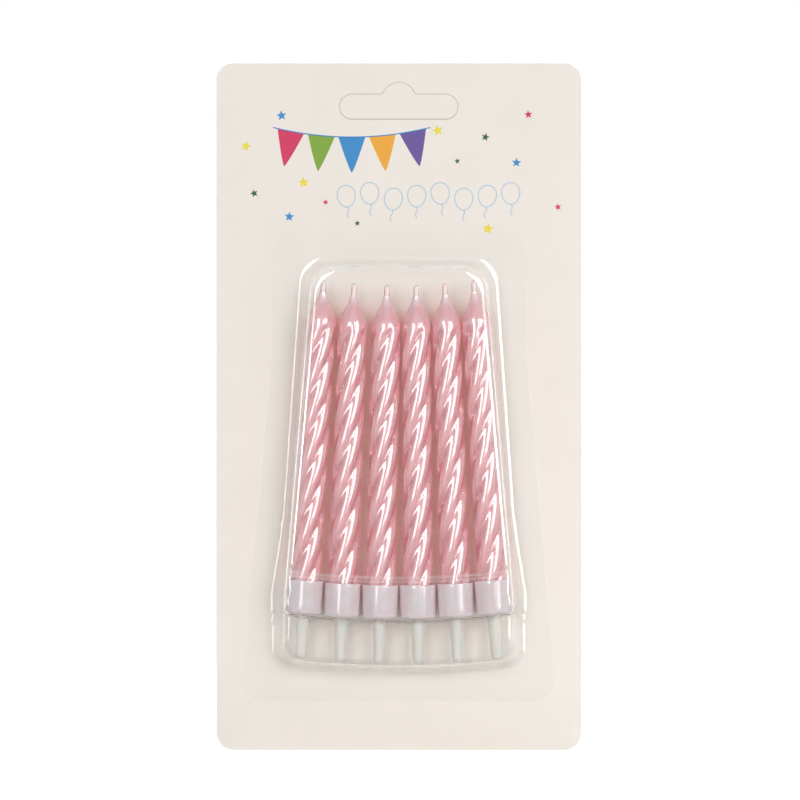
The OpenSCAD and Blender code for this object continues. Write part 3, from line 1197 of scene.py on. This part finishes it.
    def cup_circles(self, depth: float, more_in: float) -> Array:
        """Circles that the outline of the band round the cups wraps.

        Args:
            depth: distance from the card.
            more_in: how far the outline is drawn in beyond its draft.

        Returns:
            The circles, one row each.
        """
        side = depth * math.tan(self.cup_draft) + more_in
        low = depth * math.tan(self.ledge_draft) + more_in + self.ledge_corner
        return np.array(
            self.pairs(self.flare_x - side - self.corner, self.waist_z + self.flare, self.corner)
            + self.pairs(self.low_x - side - self.corner, self.seat_z + self.corner, self.corner)
            + self.low_row(self.low_x - side - self.ledge_corner, self.ledge_arc - low, self.ledge_corner)
            + self.core())

    def spike_circles(self, depth: float, more_in: float) -> Array:
        """Circles that the outline round the spikes wraps.

        Args:
            depth: distance from the card.
            more_in: how far the outline is drawn in beyond its draft.

        Returns:
            The circles, one row each.
        """
        low = self.low_x + self.lip - depth * math.tan(self.cup_draft) - more_in - self.corner
        lip = self.seat_z + self.lip_height - self.corner
        end = depth * math.tan(self.end_draft) + more_in + self.corner
        return np.array(
            self.pairs(low - self.corner, lip + self.corner, self.corner)
            + self.pairs(low, lip, self.corner)
            + self.low_row(low, self.floor_arc - end, self.corner)
            + self.core())

    def flange_reach(self) -> Array:
        """How far the flange reaches: upright beside its top, and then slanting out with the fan of candles.

        It is the larger of two hulls, one for its upright part and one for the slanting part below.

        Returns:
            Distance from the middle to its edge, in each direction.
        """
        above, beside, below = self.seals
        corner = self.flange_corner
        top_x, low_x = self.top_x + beside - corner, self.low_x + beside - corner
        top_z, low_z = self.top_z + above - corner, self.arc_centre - self.floor_arc - below + corner
        shoulder = self.pairs(top_x, top_z - self.flange_upright, corner)
        upper = np.array(self.pairs(top_x, top_z, corner) + shoulder + self.core())
        lower = np.array(shoulder + self.pairs(low_x, low_z, corner))
        return np.maximum(self.reach(upper), self.reach(lower))

    def reach(self, circles: Array) -> Array:
        """Distance from the middle to the hull of some circles, in each direction.

        Each tangent line of the hull with normal n lies h(n) from the middle, where h is the furthest circle's
        reach along n. A ray meets it at h(n) over the cosine between them, and the nearest such line is the hull.

        Args:
            circles: the circles that the hull wraps, one row each.

        Returns:
            The distance in each direction.
        """
        centres, radii = circles[:, :2] - self.middle, circles[:, 2]
        one, other = np.triu_indices(len(circles), 1)
        gap, change = centres[other] - centres[one], radii[one] - radii[other]
        length = np.hypot(gap[:, 0], gap[:, 1])
        apart = length > np.abs(change) + 1e-9
        heading = np.arctan2(gap[apart, 1], gap[apart, 0])
        swing = np.arccos(change[apart] / length[apart])
        all_round = np.linspace(0, TURN, self.hull_lines, endpoint=False)
        normals = np.concatenate([all_round, heading + swing, heading - swing])
        facing = np.stack([np.cos(normals), np.sin(normals)])
        support = (centres @ facing + radii[:, None]).max(axis=0)
        cosine, least = np.cos(normals[None, :] - self.angles[:, None]), self.least_cosine
        return np.where(cosine > least, support / np.maximum(cosine, least), np.inf).min(axis=1)

    def line_at(self, pocket: Pocket, depth: Number, more_in: float = 0) -> Array:
        """Reach of one outline at a depth, which may differ from direction to direction."""
        start, by_depth, by_more = self.lines[pocket]
        return start + by_depth * depth + by_more * more_in

    def deep_at(self, depth: Number, more_in: float = 0) -> Array:
        """Reach round the candles and cups together."""
        candles, cups = (self.line_at(pocket, depth, more_in) for pocket in (Pocket.CANDLES, Pocket.CUPS))
        return soft_max(candles, cups, self.deep_blend)

    def both_at(self, depth: Number, more_in: float = 0) -> Array:
        """Reach round everything, softened where the pockets meet."""
        spikes = self.line_at(Pocket.SPIKES, depth, more_in)
        return soft_max(self.deep_at(depth, more_in), spikes, self.roof_blend)

    def even_angles(self) -> Array:
        """Directions whose points lie evenly along the pocket's foot, and closer together beside the step.

        The path along the foot is summed up piece by piece, with more weight under a bell curve beside the step,
        and the sum is shared out evenly.

        Returns:
            The angles round the middle.
        """
        reach = self.both_at(0)
        path = np.stack([reach * np.cos(self.angles), reach * np.sin(self.angles)])
        from_step = path[1, 1:] + self.middle_z - self.waist_z - self.close_at
        weight = 1 + self.closeness * np.exp(-(from_step / self.close_within) ** 2)
        length = np.hypot(*np.diff(path, axis=1)) * weight
        along = np.concatenate([[0], np.cumsum(length)])
        return np.interp(np.linspace(0, along[-1], self.columns, endpoint=False), along, self.angles)

    def spots(self, reach: Array) -> tuple[Array, Array]:
        """Places across and up the card for reaches from the middle."""
        return self.middle[0] + reach * np.cos(self.angles), self.middle[1] + reach * np.sin(self.angles)

    def front_at(self, reach: Array) -> Array:
        """Depth of the front face, which steps up from the candles to the band along an arc over the cups.

        Args:
            reach: distance from the middle in each direction.

        Returns:
            The depth there.
        """
        x, z = self.spots(reach)
        before, after = self.step_soft
        rise = smooth_step(np.hypot(x, z - self.arc_centre), self.step_arc - before, self.step_arc + after)
        return self.candle_front + (self.band_front - self.candle_front) * rise + self.film

    def step_reach(self) -> Array:
        """Distance from the middle to the step's arc: the positive root of a circle's and a ray's meeting.

        Returns:
            The distance in each direction.
        """
        drop = self.middle[1] - self.arc_centre
        along = np.sin(self.angles) * drop
        return -along + np.sqrt(along**2 - drop**2 + self.step_arc**2)

    def wall_rings(self, rings: Rings, base: float, roof: float) -> None:
        """Adds the flange, the foot, the first wall and its rounded edge.

        Args:
            rings: what the rings are added to.
            base: depth of the flange's face.
            roof: depth of the shallow pocket's face.
        """
        rim, foot_line = self.flange_reach(), self.both_at(0, -self.foot)
        for inward in (0, *self.flange_bevel):
            rings.add(rim - inward, base)
        for share in np.linspace(0, 1, self.flange_rings + 1)[1:]:
            rings.add((rim - self.flange_bevel[1]) * (1 - share) + foot_line * share, base)
        for out, up in rounding(*self.foot_round):
            rings.add(self.both_at(self.foot * up, -self.foot * out), base + self.foot * up)
        for depth in np.linspace(base + self.foot, roof - self.edge, self.side_rings + 1)[1:]:
            rings.add(self.both_at(depth), depth)
        for down, inward in rounding(*self.roof_round):
            depth = roof - self.edge * down
            low = self.line_at(Pocket.SPIKES, depth, self.edge * inward)
            rings.add(soft_max(self.deep_at(depth), low, self.roof_blend), depth)

    def ledge_rings(self, rings: Rings, roof: float, front: Array) -> None:
        """Adds the shallow pocket's roof, and the wall from there to the front with its rounded edge.

        Where there is no shallow pocket the roof has no width, and its rings lie close together on the wall.

        Args:
            rings: what the rings are added to.
            roof: depth of the shallow pocket's face.
            front: depth of the front face at its edge, in each direction.
        """
        low_edge, ledge = rings.reaches[-1], self.deep_at(roof)
        room = smooth_step(low_edge - ledge, *self.ledge_room)
        fillet = (self.ledge_fillet[0] + self.ledge_fillet[1] * room) * MM
        ledge_foot = np.minimum(ledge + fillet * room, low_edge - self.least_step)
        for share in np.linspace(0, 1, self.roof_rings + 1)[1:]:
            rings.add(low_edge + (ledge_foot - low_edge) * share, roof)
        for out, up in rounding(*self.ledge_round):
            depth = roof + fillet * up
            rings.add(self.deep_at(depth) + fillet * room * out, depth)
        rings.add(self.deep_at(front - self.edge), front - self.edge)
        for down, inward in rounding(*self.front_round):
            depth = front - self.edge * down
            rings.add(self.deep_at(depth, self.edge * inward), depth)

    def front_rings(self, rings: Rings) -> None:
        """Adds the front face: a few rings in to the step, close ones over it, and a few more to the middle.

        Args:
            rings: what the rings are added to.
        """
        inner, step = rings.reaches[-1], self.step_reach()
        (first, pitch, count), (share, less) = self.over_step, self.over_step_inside
        over = [np.minimum(step + (first - pitch * turn) * MM, inner * (share - less * turn))
                for turn in range(count)]
        inward = [inner + (over[0] - inner) * share for share in self.to_step] + over
        inward += [over[-1] * share for share in self.to_middle]
        for reach in inward:
            rings.add(reach, self.front_at(reach))

    def bend(self, reach: Array, depth: Array) -> Array:
        """How sharply the profile turns at each point.

        It is the angle between the profile's steps before and after a ring, over the length of those steps.

        Args:
            reach: reach of every ring in each direction.
            depth: depth of every ring in each direction.

        Returns:
            A value from 0 where the film is flat to 1 round an edge.
        """
        out, up = np.diff(reach, axis=0), np.diff(depth, axis=0)
        slope = np.unwrap(np.arctan2(up, -out), axis=0)
        length = np.hypot(out, up)
        turn = np.abs(np.diff(slope, axis=0)) / np.maximum(length[1:] + length[:-1], self.least_step) * 2
        return np.pad(smooth_step(turn * MM, *self.bend_between), ((1, 1), (0, 0)))

    def paint(self, made: bpy.types.Object, reach: Array, depth: Array) -> None:
        """Stores where the film bends, and how much its walls shade the card.

        The flange's left edge shines less than its right one, and the upper wall faces the lamps and shades less.

        Args:
            made: the film's object.
            reach: reach of every ring in each direction.
            depth: depth of every ring in each direction.
        """
        x, z = self.spots(reach)
        flat_x = np.where(depth < self.quiet_below, x, np.inf)
        gloss = self.quiet + (1 - self.quiet) * smooth_step(flat_x, *self.quiet_between)
        shading = smooth_step(depth, *self.shade_between) * (1 - self.lit_share * smooth_step(z, *self.lit_between))
        paint_value(made, "bend", np.concatenate([(gloss * self.bend(reach, depth)).ravel(), [0]]))
        paint_value(made, "raised", np.concatenate([shading.ravel(), [1]]))

    def build(self, finish: bpy.types.Material) -> None:
        """Makes the formed film, and gives it its thickness on the card's side.

        Its face sags by the product of two sine waves, more where it stands further from the card.

        Args:
            finish: the clear film.
        """
        rings, roof = Rings(), self.shallow + self.film
        self.wall_rings(rings, self.lift + self.film, roof)
        self.ledge_rings(rings, roof, self.front_at(self.deep_at(self.candle_front)))
        self.front_rings(rings)
        reach, depth = np.array(rings.reaches), np.array(rings.depths)
        x, z = self.spots(reach)
        across, up = self.sag_waves
        waves = (np.sin(x / across + 1) * np.sin(z / up) - 1) / 2
        sunk = self.sag * smooth_step(depth, *self.sag_between) * waves
        tip = [0, -self.candle_front - self.film + self.sag / 2, self.middle_z]
        made = build_object("formed_film", capped(np.stack([x, -(depth + sunk), z], axis=-1), last=tip))
        self.paint(made, reach, depth)
        wall = made.modifiers.new("film_thickness", "SOLIDIFY")
        wall.thickness = self.film
        wall.offset = -1
        finish_piece(made, finish, PACK, "blister_shell")


# ---------------------------------------------------------------- card and its print


@dataclass(frozen=True)
class Print:
    """Flat printed motifs, and the slot's line of painted shade, that lie on the card's front face."""

    back: float = -0.003 * MM
    front: float = -0.012 * MM
    line: float = 0.24 * MM
    star_points: int = 5
    star_waist: float = 0.215
    pennant_bow: float = 0.85
    pennant_points: int = 14
    balloon_height: float = 0.6
    balloon_narrowing: float = 0.12
    balloon_points: int = 40
    string_length: float = 3 * MM
    string_wave: float = 0.25 * MM
    string_turn: float = 7
    string_points: int = 16

    def plate(self, outline: Array) -> Mesh:
        """A thin plate.

        Args:
            outline: points across and up, anticlockwise as seen from the front.

        Returns:
            Its points and faces: the front, the back, and a side for each edge.
        """
        count = len(outline)
        front = np.stack([outline[:, 0], np.full(count, self.front), outline[:, 1]], axis=-1)
        back = front + [0, self.back - self.front, 0]
        faces = [list(range(count)), list(range(2 * count - 1, count - 1, -1))]
        faces += [[k + count, (k + 1) % count + count, (k + 1) % count, k] for k in range(count)]
        return np.concatenate([front, back]), faces

    def line_along(self, path: Array, width: float, closed: bool) -> Mesh:
        """A thin printed line: a small flat section carried along a path, square to it at each point.

        Args:
            path: points across and up.
            width: width of the line.
            closed: whether its end joins its start.

        Returns:
            Its points and faces.
        """
        step = np.roll(path, -1, axis=0) - np.roll(path, 1, axis=0) if closed else np.gradient(path, axis=0)
        step = step / np.linalg.norm(step, axis=1, keepdims=True)
        across = np.stack([-step[:, 1], step[:, 0]], axis=-1) * width / 2
        section = ((1, self.front), (-1, self.front), (-1, self.back), (1, self.back))
        edges = [(path + side * across, np.full(len(path), depth)) for side, depth in section]
        points = np.stack([np.stack([edge[:, 0], depth, edge[:, 1]], axis=-1) for edge, depth in edges], axis=1)
        faces = lattice(len(path), len(section), closed=closed)[:, ::-1].tolist()
        if not closed:
            end = len(section) * (len(path) - 1)
            faces += [[0, 1, 2, 3], [end + 3, end + 2, end + 1, end]]
        return points.reshape(-1, 3), faces

    def star(self, x: float, z: float, width: float, turn: float) -> Array:
        """Outline of a five-pointed star: ten points in turn far from its middle and near it.

        Args:
            x: its middle, across.
            z: its middle, up.
            width: distance from point to point through the middle.
            turn: degrees that it is turned by, anticlockwise.

        Returns:
            The outline's points.
        """
        corner = np.arange(2 * self.star_points)
        angle = math.radians(turn) + math.pi / 2 + corner * math.pi / self.star_points
        reach = np.where(corner % 2 == 0, width / 2, width * self.star_waist)
        return np.stack([x + reach * np.cos(angle), z + reach * np.sin(angle)], axis=-1)

    def pennant(self, x: float, z: float, width: float, height: float, tilt: float) -> Array:
        """Outline of a hanging pennant, whose sides follow a power of the way down and so are slightly bowed.

        Args:
            x: the middle of its upper edge, across.
            z: the middle of its upper edge, up.
            width: width of its upper edge.
            height: how far its point hangs down.
            tilt: degrees that it is turned by, anticlockwise.

        Returns:
            The outline's points.
        """
        share = np.linspace(0, 1, self.pennant_points)
        right = np.stack([width / 2 * (1 - share) ** self.pennant_bow, -height * share], axis=-1)
        outline = np.concatenate([right[::-1][:-1], right[:1], (right * [-1, 1])[:-1]])
        return turned(outline, tilt, x, z)

    def balloon(self, x: float, z: float, width: float, tilt: float) -> tuple[Array, Array]:
        """Paths of a balloon and its string.

        The balloon is an ellipse that narrows towards its knot, and the string is a short sine wave below it.

        Args:
            x: the balloon's middle, across.
            z: the balloon's middle, up.
            width: its width.
            tilt: degrees that it is turned by, anticlockwise.

        Returns:
            The path round the balloon, and the path down its string.
        """
        angle = around(self.balloon_points)[0]
        up = np.sin(angle)
        height = width * self.balloon_height
        body = np.stack([width / 2 * np.cos(angle) * (1 + self.balloon_narrowing * up), height * up], axis=-1)
        share = np.linspace(0, 1, self.string_points)
        wave = self.string_wave * np.sin(share * self.string_turn)
        string = np.stack([wave, -height - self.string_length * share], axis=-1)
        return turned(body, tilt, x, z), turned(string, tilt, x, z)

    def build(self, name: str, parts: Sequence[Mesh], ink: Ink) -> None:
        """Makes one flat piece of one ink: a print, or the slot's line of painted shade."""
        made = build_object(name, join_parts(parts), smooth=False)
        finish_piece(made, ink.value.material(), PACK)


@dataclass(frozen=True)
class Card:
    """The backing card with its stars, its row of pennants and its outlined balloons. Places are in millimetres.

    A star is its place across and up, its width, its turn in degrees and its ink. The balloons' bob and tilt are
    each the most that a balloon has, and how far the sine wave moves on from one balloon to the next.
    """

    print: Print = field(default_factory=Print)
    stars: tuple[tuple[float, float, float, float, Ink], ...] = (
        (-31.7, -2.4, 2.9, 8, Ink.SKY), (-41.3, -10.7, 3.1, -12, Ink.YELLOW), (-25.7, -20.5, 3.2, 5, Ink.YELLOW),
        (-39.1, -23.4, 2.3, 20, Ink.FOREST), (-29.6, -29.7, 2.8, -6, Ink.SKY), (-19.8, -25.8, 1.7, 14, Ink.CRIMSON),
        (-11.2, -31.5, 1.7, 0, Ink.FOREST), (24.1, -33.0, 3.3, -10, Ink.YELLOW), (43.0, -27.1, 2.0, 12, Ink.CRIMSON),
        (31.8, -15.1, 2.7, -4, Ink.SKY), (15.8, -14.7, 1.7, 10, Ink.FOREST), (23.4, -8.2, 2.4, -15, Ink.FOREST),
        (35.0, -2.1, 2.4, 6, Ink.CRIMSON), (10.5, -6.4, 3.1, 16, Ink.YELLOW),
    )
    pennants: tuple[Ink, ...] = (Ink.CRIMSON, Ink.LEAF, Ink.SKY, Ink.ORANGE, Ink.VIOLET)
    pennant_start: float = -29.2
    pennant_pitch: float = 8.25
    pennant_size: Pair = (7.2, 9.6)
    pennant_tilt: float = 14
    string_middle: float = -12.75
    string_half: float = 21.25
    string_height: float = -5.6
    string_sag: float = 2.6
    string_width: float = 1.3
    string_points: int = 40
    string_gap: float = 0.1
    balloons: int = 8
    balloon_start: Pair = (-14.2, -24.2)
    balloon_pitch: float = 6.35
    balloon_width: float = 4.9
    balloon_bob: Pair = (0.9, 2.1)
    balloon_tilt: Pair = (7, 1.7)
    slot_half: float = 12.6
    slot_bar: float = 3.4
    slot_bump: float = 4.5
    slot_rise: float = 3.2
    slot_foot: float = 1.2
    slot_steps: int = 25
    # Width of the grey line of painted shade along the slot's cut.
    slot_shade_line: float = 0.3

    def dress_board(self, finish: bpy.types.Material) -> None:
        """Gives the card's own solid its board, in place of the plain colour that it came with.

        Args:
            finish: the coated board.
        """
        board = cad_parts["backing_card"]
        board.data.materials.clear()
        board.data.materials.append(finish)
        LOG.info("backing_card: dressed")

    def slot_path(self) -> Array:
        """Path round the hang slot: five arcs for a bar with round ends, and a bump with soft feet.

        Returns:
            Points round the slot, in metres.
        """
        bar, foot, bump = self.slot_bar, self.slot_foot, self.slot_bump
        middle = bar + self.slot_rise - bump
        lift = math.degrees(math.asin((bar + foot - middle) / (bump + foot)))
        across = (bump + foot) * math.cos(math.radians(lift))
        arcs = (
            (self.slot_half, 0, bar, -90, 90), (across, bar + foot, foot, 270, 180 + lift),
            (0, middle, bump, lift, 180 - lift), (-across, bar + foot, foot, -lift, -90),
            (-self.slot_half, 0, bar, 90, 270),
        )
        return MM * np.concatenate([arc(*numbers, steps=self.slot_steps) for numbers in arcs])

    def paint_slot_shade(self) -> None:
        """Paints a narrow grey line along the slot's cut, as painted shade where the die has cut the card."""
        slot_shade_line = self.print.line_along(self.slot_path(), self.slot_shade_line * MM, True)
        self.print.build("slot_shade_strip", [slot_shade_line], Ink.PAINTED_SLOT_SHADE)

    def print_stars(self) -> None:
        """Prints the stars, one piece for each ink."""
        for ink in dict.fromkeys(star[4] for star in self.stars):
            parts = [self.print.plate(self.print.star(x * MM, z * MM, width * MM, turn))
                     for x, z, width, turn, colour in self.stars if colour is ink]
            self.print.build(f"star_print_{ink.value.name}", parts, ink)

    def string_at(self, x: Number) -> Number:
        """Height of the pennants' string at a place across. It sags as a parabola between its ends."""
        return self.string_height - self.string_sag * (1 - ((x - self.string_middle) / self.string_half) ** 2)

    def print_pennants(self) -> None:
        """Prints five pennants that hang from just under a sagging string."""
        ends = self.string_middle - self.string_half, self.string_middle + self.string_half
        x = np.linspace(*ends, self.string_points)
        string = np.stack([x, self.string_at(x)], axis=-1) * MM
        self.print.build(
            "pennant_string", [self.print.line_along(string, self.print.line * self.string_width, False)], Ink.SKY)
        width, height = self.pennant_size
        for place, ink in enumerate(self.pennants):
            x = self.pennant_start + self.pennant_pitch * place
            tilt = self.pennant_tilt * (x - self.string_middle) / self.string_half
            z = self.string_at(x) - self.string_gap
            shape = self.print.pennant(x * MM, z * MM, width * MM, height * MM, tilt)
            self.print.build(f"pennant_print_{ink.value.name}", [self.print.plate(shape)], ink)

    def print_balloons(self) -> None:
        """Prints a row of balloons in thin outline, at heights and tilts that follow sine waves."""
        parts, (start, height) = [], self.balloon_start
        (bob, bob_step), (lean, lean_step) = self.balloon_bob, self.balloon_tilt
        for place in range(self.balloons):
            x = start + self.balloon_pitch * place
            z = height + bob * math.sin(bob_step * place)
            tilt = lean * math.sin(lean_step * place + 1)
            body, string = self.print.balloon(x * MM, z * MM, self.balloon_width * MM, tilt)
            parts.append(self.print.line_along(body, self.print.line, True))
            parts.append(self.print.line_along(string, self.print.line, False))
        self.print.build("balloon_print", parts, Ink.PALE_BLUE)


# ---------------------------------------------------------------- studio


@dataclass(frozen=True)
class Lamp:
    """A soft rectangular lamp that faces the pack.

    Its place is in degrees to the right of the camera and above the pack's middle, and its distance from there in
    metres. Its size is in metres too, and its power in watts.
    """

    name: str
    azimuth: float
    elevation: float
    size: Pair
    power: float
    distance: float = 0.9

    def place(self, aim: Vector) -> None:
        """Adds the lamp.

        Args:
            aim: the pack's middle, which it faces.
        """
        data = bpy.data.lights.new(self.name, "AREA")
        data.shape = "RECTANGLE"
        data.size, data.size_y = self.size
        data.energy = self.power
        lamp = bpy.data.objects.new(self.name, data)
        turn, rise = math.radians(self.azimuth), math.radians(self.elevation)
        back = Vector((math.sin(turn) * math.cos(rise), -math.cos(turn) * math.cos(rise), math.sin(rise)))
        lamp.location = aim + back * self.distance
        lamp.rotation_euler = (-back).to_track_quat("-Z", "Y").to_euler()
        bpy.context.scene.collection.objects.link(lamp)


@dataclass(frozen=True)
class Studio:
    """Camera, lamps, floor and surroundings."""

    distance: float = 1.0
    view_width: float = 216.2 * MM
    aim: Pair = (0.32 * MM, -79.25 * MM)
    sensor: float = 36.0
    soft_level: float = 0.21
    soft_colour: Rgb = srgb(250, 250, 255)
    dim_in_front: float = 0.85
    dim_between: Pair = (-0.35, 0.05)
    floor_radius: float = 0.32
    floor_below: float = 0.05 * MM
    floor_rings: int = 24
    floor_columns: int = 96
    floor_glow: float = 1.2
    floor_roughness: float = 0.7
    floor_fades: tuple[Pair, Pair] = ((0.2, 0.3), (0.8, 1))
    floor_colours: tuple[Rgb, Rgb] = (srgb(240, 240, 240), srgb(246, 246, 246))
    lamps: tuple[Lamp, ...] = (
        Lamp("strip_right", azimuth=37.5, elevation=11, size=(0.38, 0.62), power=2.75),
        Lamp("strip_near_right", azimuth=17.5, elevation=11, size=(0.1, 0.62), power=0.9),
        Lamp("strip_left", azimuth=-22, elevation=11, size=(0.33, 0.62), power=2.6),
        Lamp("soft_back", azimuth=155, elevation=30, size=(0.8, 0.8), power=8, distance=1.1),
    )

    def place_camera(self) -> None:
        """Looks straight at the card's front through a long lens."""
        data = bpy.data.cameras.new("camera")
        data.sensor_width = self.sensor
        data.lens = self.sensor * self.distance / self.view_width
        camera = bpy.data.objects.new("camera", data)
        camera.location = (self.aim[0], -self.distance, self.aim[1])
        camera.rotation_euler = (math.pi / 2, 0, 0)
        bpy.context.scene.collection.objects.link(camera)
        bpy.context.scene.camera = camera

    def light_surroundings(self) -> None:
        """Sets an even soft light all round, and white where the camera, glass or gloss looks at it.

        Gloss finds it dimmer in front of the pack, where a studio is darker.
        """
        world = bpy.data.worlds.new("surroundings")
        made = Nodes(world, "ShaderNodeOutputWorld", "ShaderNodeBackground", "Generated")
        made.put(made.shader, {"Color": self.soft_colour, "Strength": self.soft_level})
        ray = made.add("ShaderNodeLightPath").outputs
        seen = made.reckon("MAXIMUM", ray["Is Camera Ray"], ray["Is Transmission Ray"])
        behind = made.spread(made.coordinate("Y"), self.dim_between, (self.dim_in_front, 1))
        white = made.add("ShaderNodeBackground")
        made.put(white, {"Color": (1, 1, 1), "Strength": made.reckon("MAXIMUM", seen, behind)})
        made.show_instead(made.reckon("MAXIMUM", seen, ray["Is Glossy Ray"]), white)
        bpy.context.scene.world = world

    def lay_floor(self) -> None:
        """Lays a pale round floor under the card. It fades to white away from the pack and keeps its shadow."""
        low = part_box("backing_card")[0].z - self.floor_below
        reach = self.floor_radius * np.linspace(1, 0, self.floor_rings)[:-1, None]
        rings = swept(reach, around(self.floor_columns), low)
        floor = build_object("floor", capped(rings, last=[0, 0, low]))
        made = Nodes(bpy.data.materials.new("pale_floor"))
        made.put(made.shader, {
            "Base Color": made.blend(made.noise(size=8 * MM), *self.floor_colours),
            "Roughness": self.floor_roughness,
        })
        length = made.add("ShaderNodeVectorMath", operation="LENGTH")
        made.put(length, {0: made.places})
        far = made.spread(length.outputs["Value"], *self.floor_fades)
        glow = made.add("ShaderNodeEmission")
        made.put(glow, {"Strength": self.floor_glow})
        seen = made.add("ShaderNodeLightPath").outputs["Is Camera Ray"]
        made.show_instead(made.reckon("MULTIPLY", far, seen), glow)
        floor.data.materials.append(made.owner)

    def set_up(self) -> None:
        """Sets camera, surroundings, lamps and floor."""
        self.place_camera()
        self.light_surroundings()
        for lamp in self.lamps:
            lamp.place(Vector((self.aim[0], 0, self.aim[1])))
        self.lay_floor()
        bpy.context.scene.view_settings.view_transform = "Standard"


def main() -> None:
    """Builds the pack, piece by piece, and sets up the studio."""
    logging.basicConfig(level=logging.INFO, format="%(name)s: %(message)s")
    Studio().set_up()
    row = Row()
    wax, cotton, plastic = WaxFinish().material(), WickFinish().material(), HolderFinish().material()
    candle, wick, holder = Candle(), Wick(), Holder()
    for number in row.numbers():
        candle.build(row, number, wax)
        wick.build(row, number, cotton)
        holder.build(row, number, plastic)
    Blister(row).build(FilmFinish().material())
    card = Card()
    card.dress_board(BoardFinish().material())
    card.paint_slot_shade()
    card.print_stars()
    card.print_pennants()
    card.print_balloons()


if __name__ == "__main__":
    main()
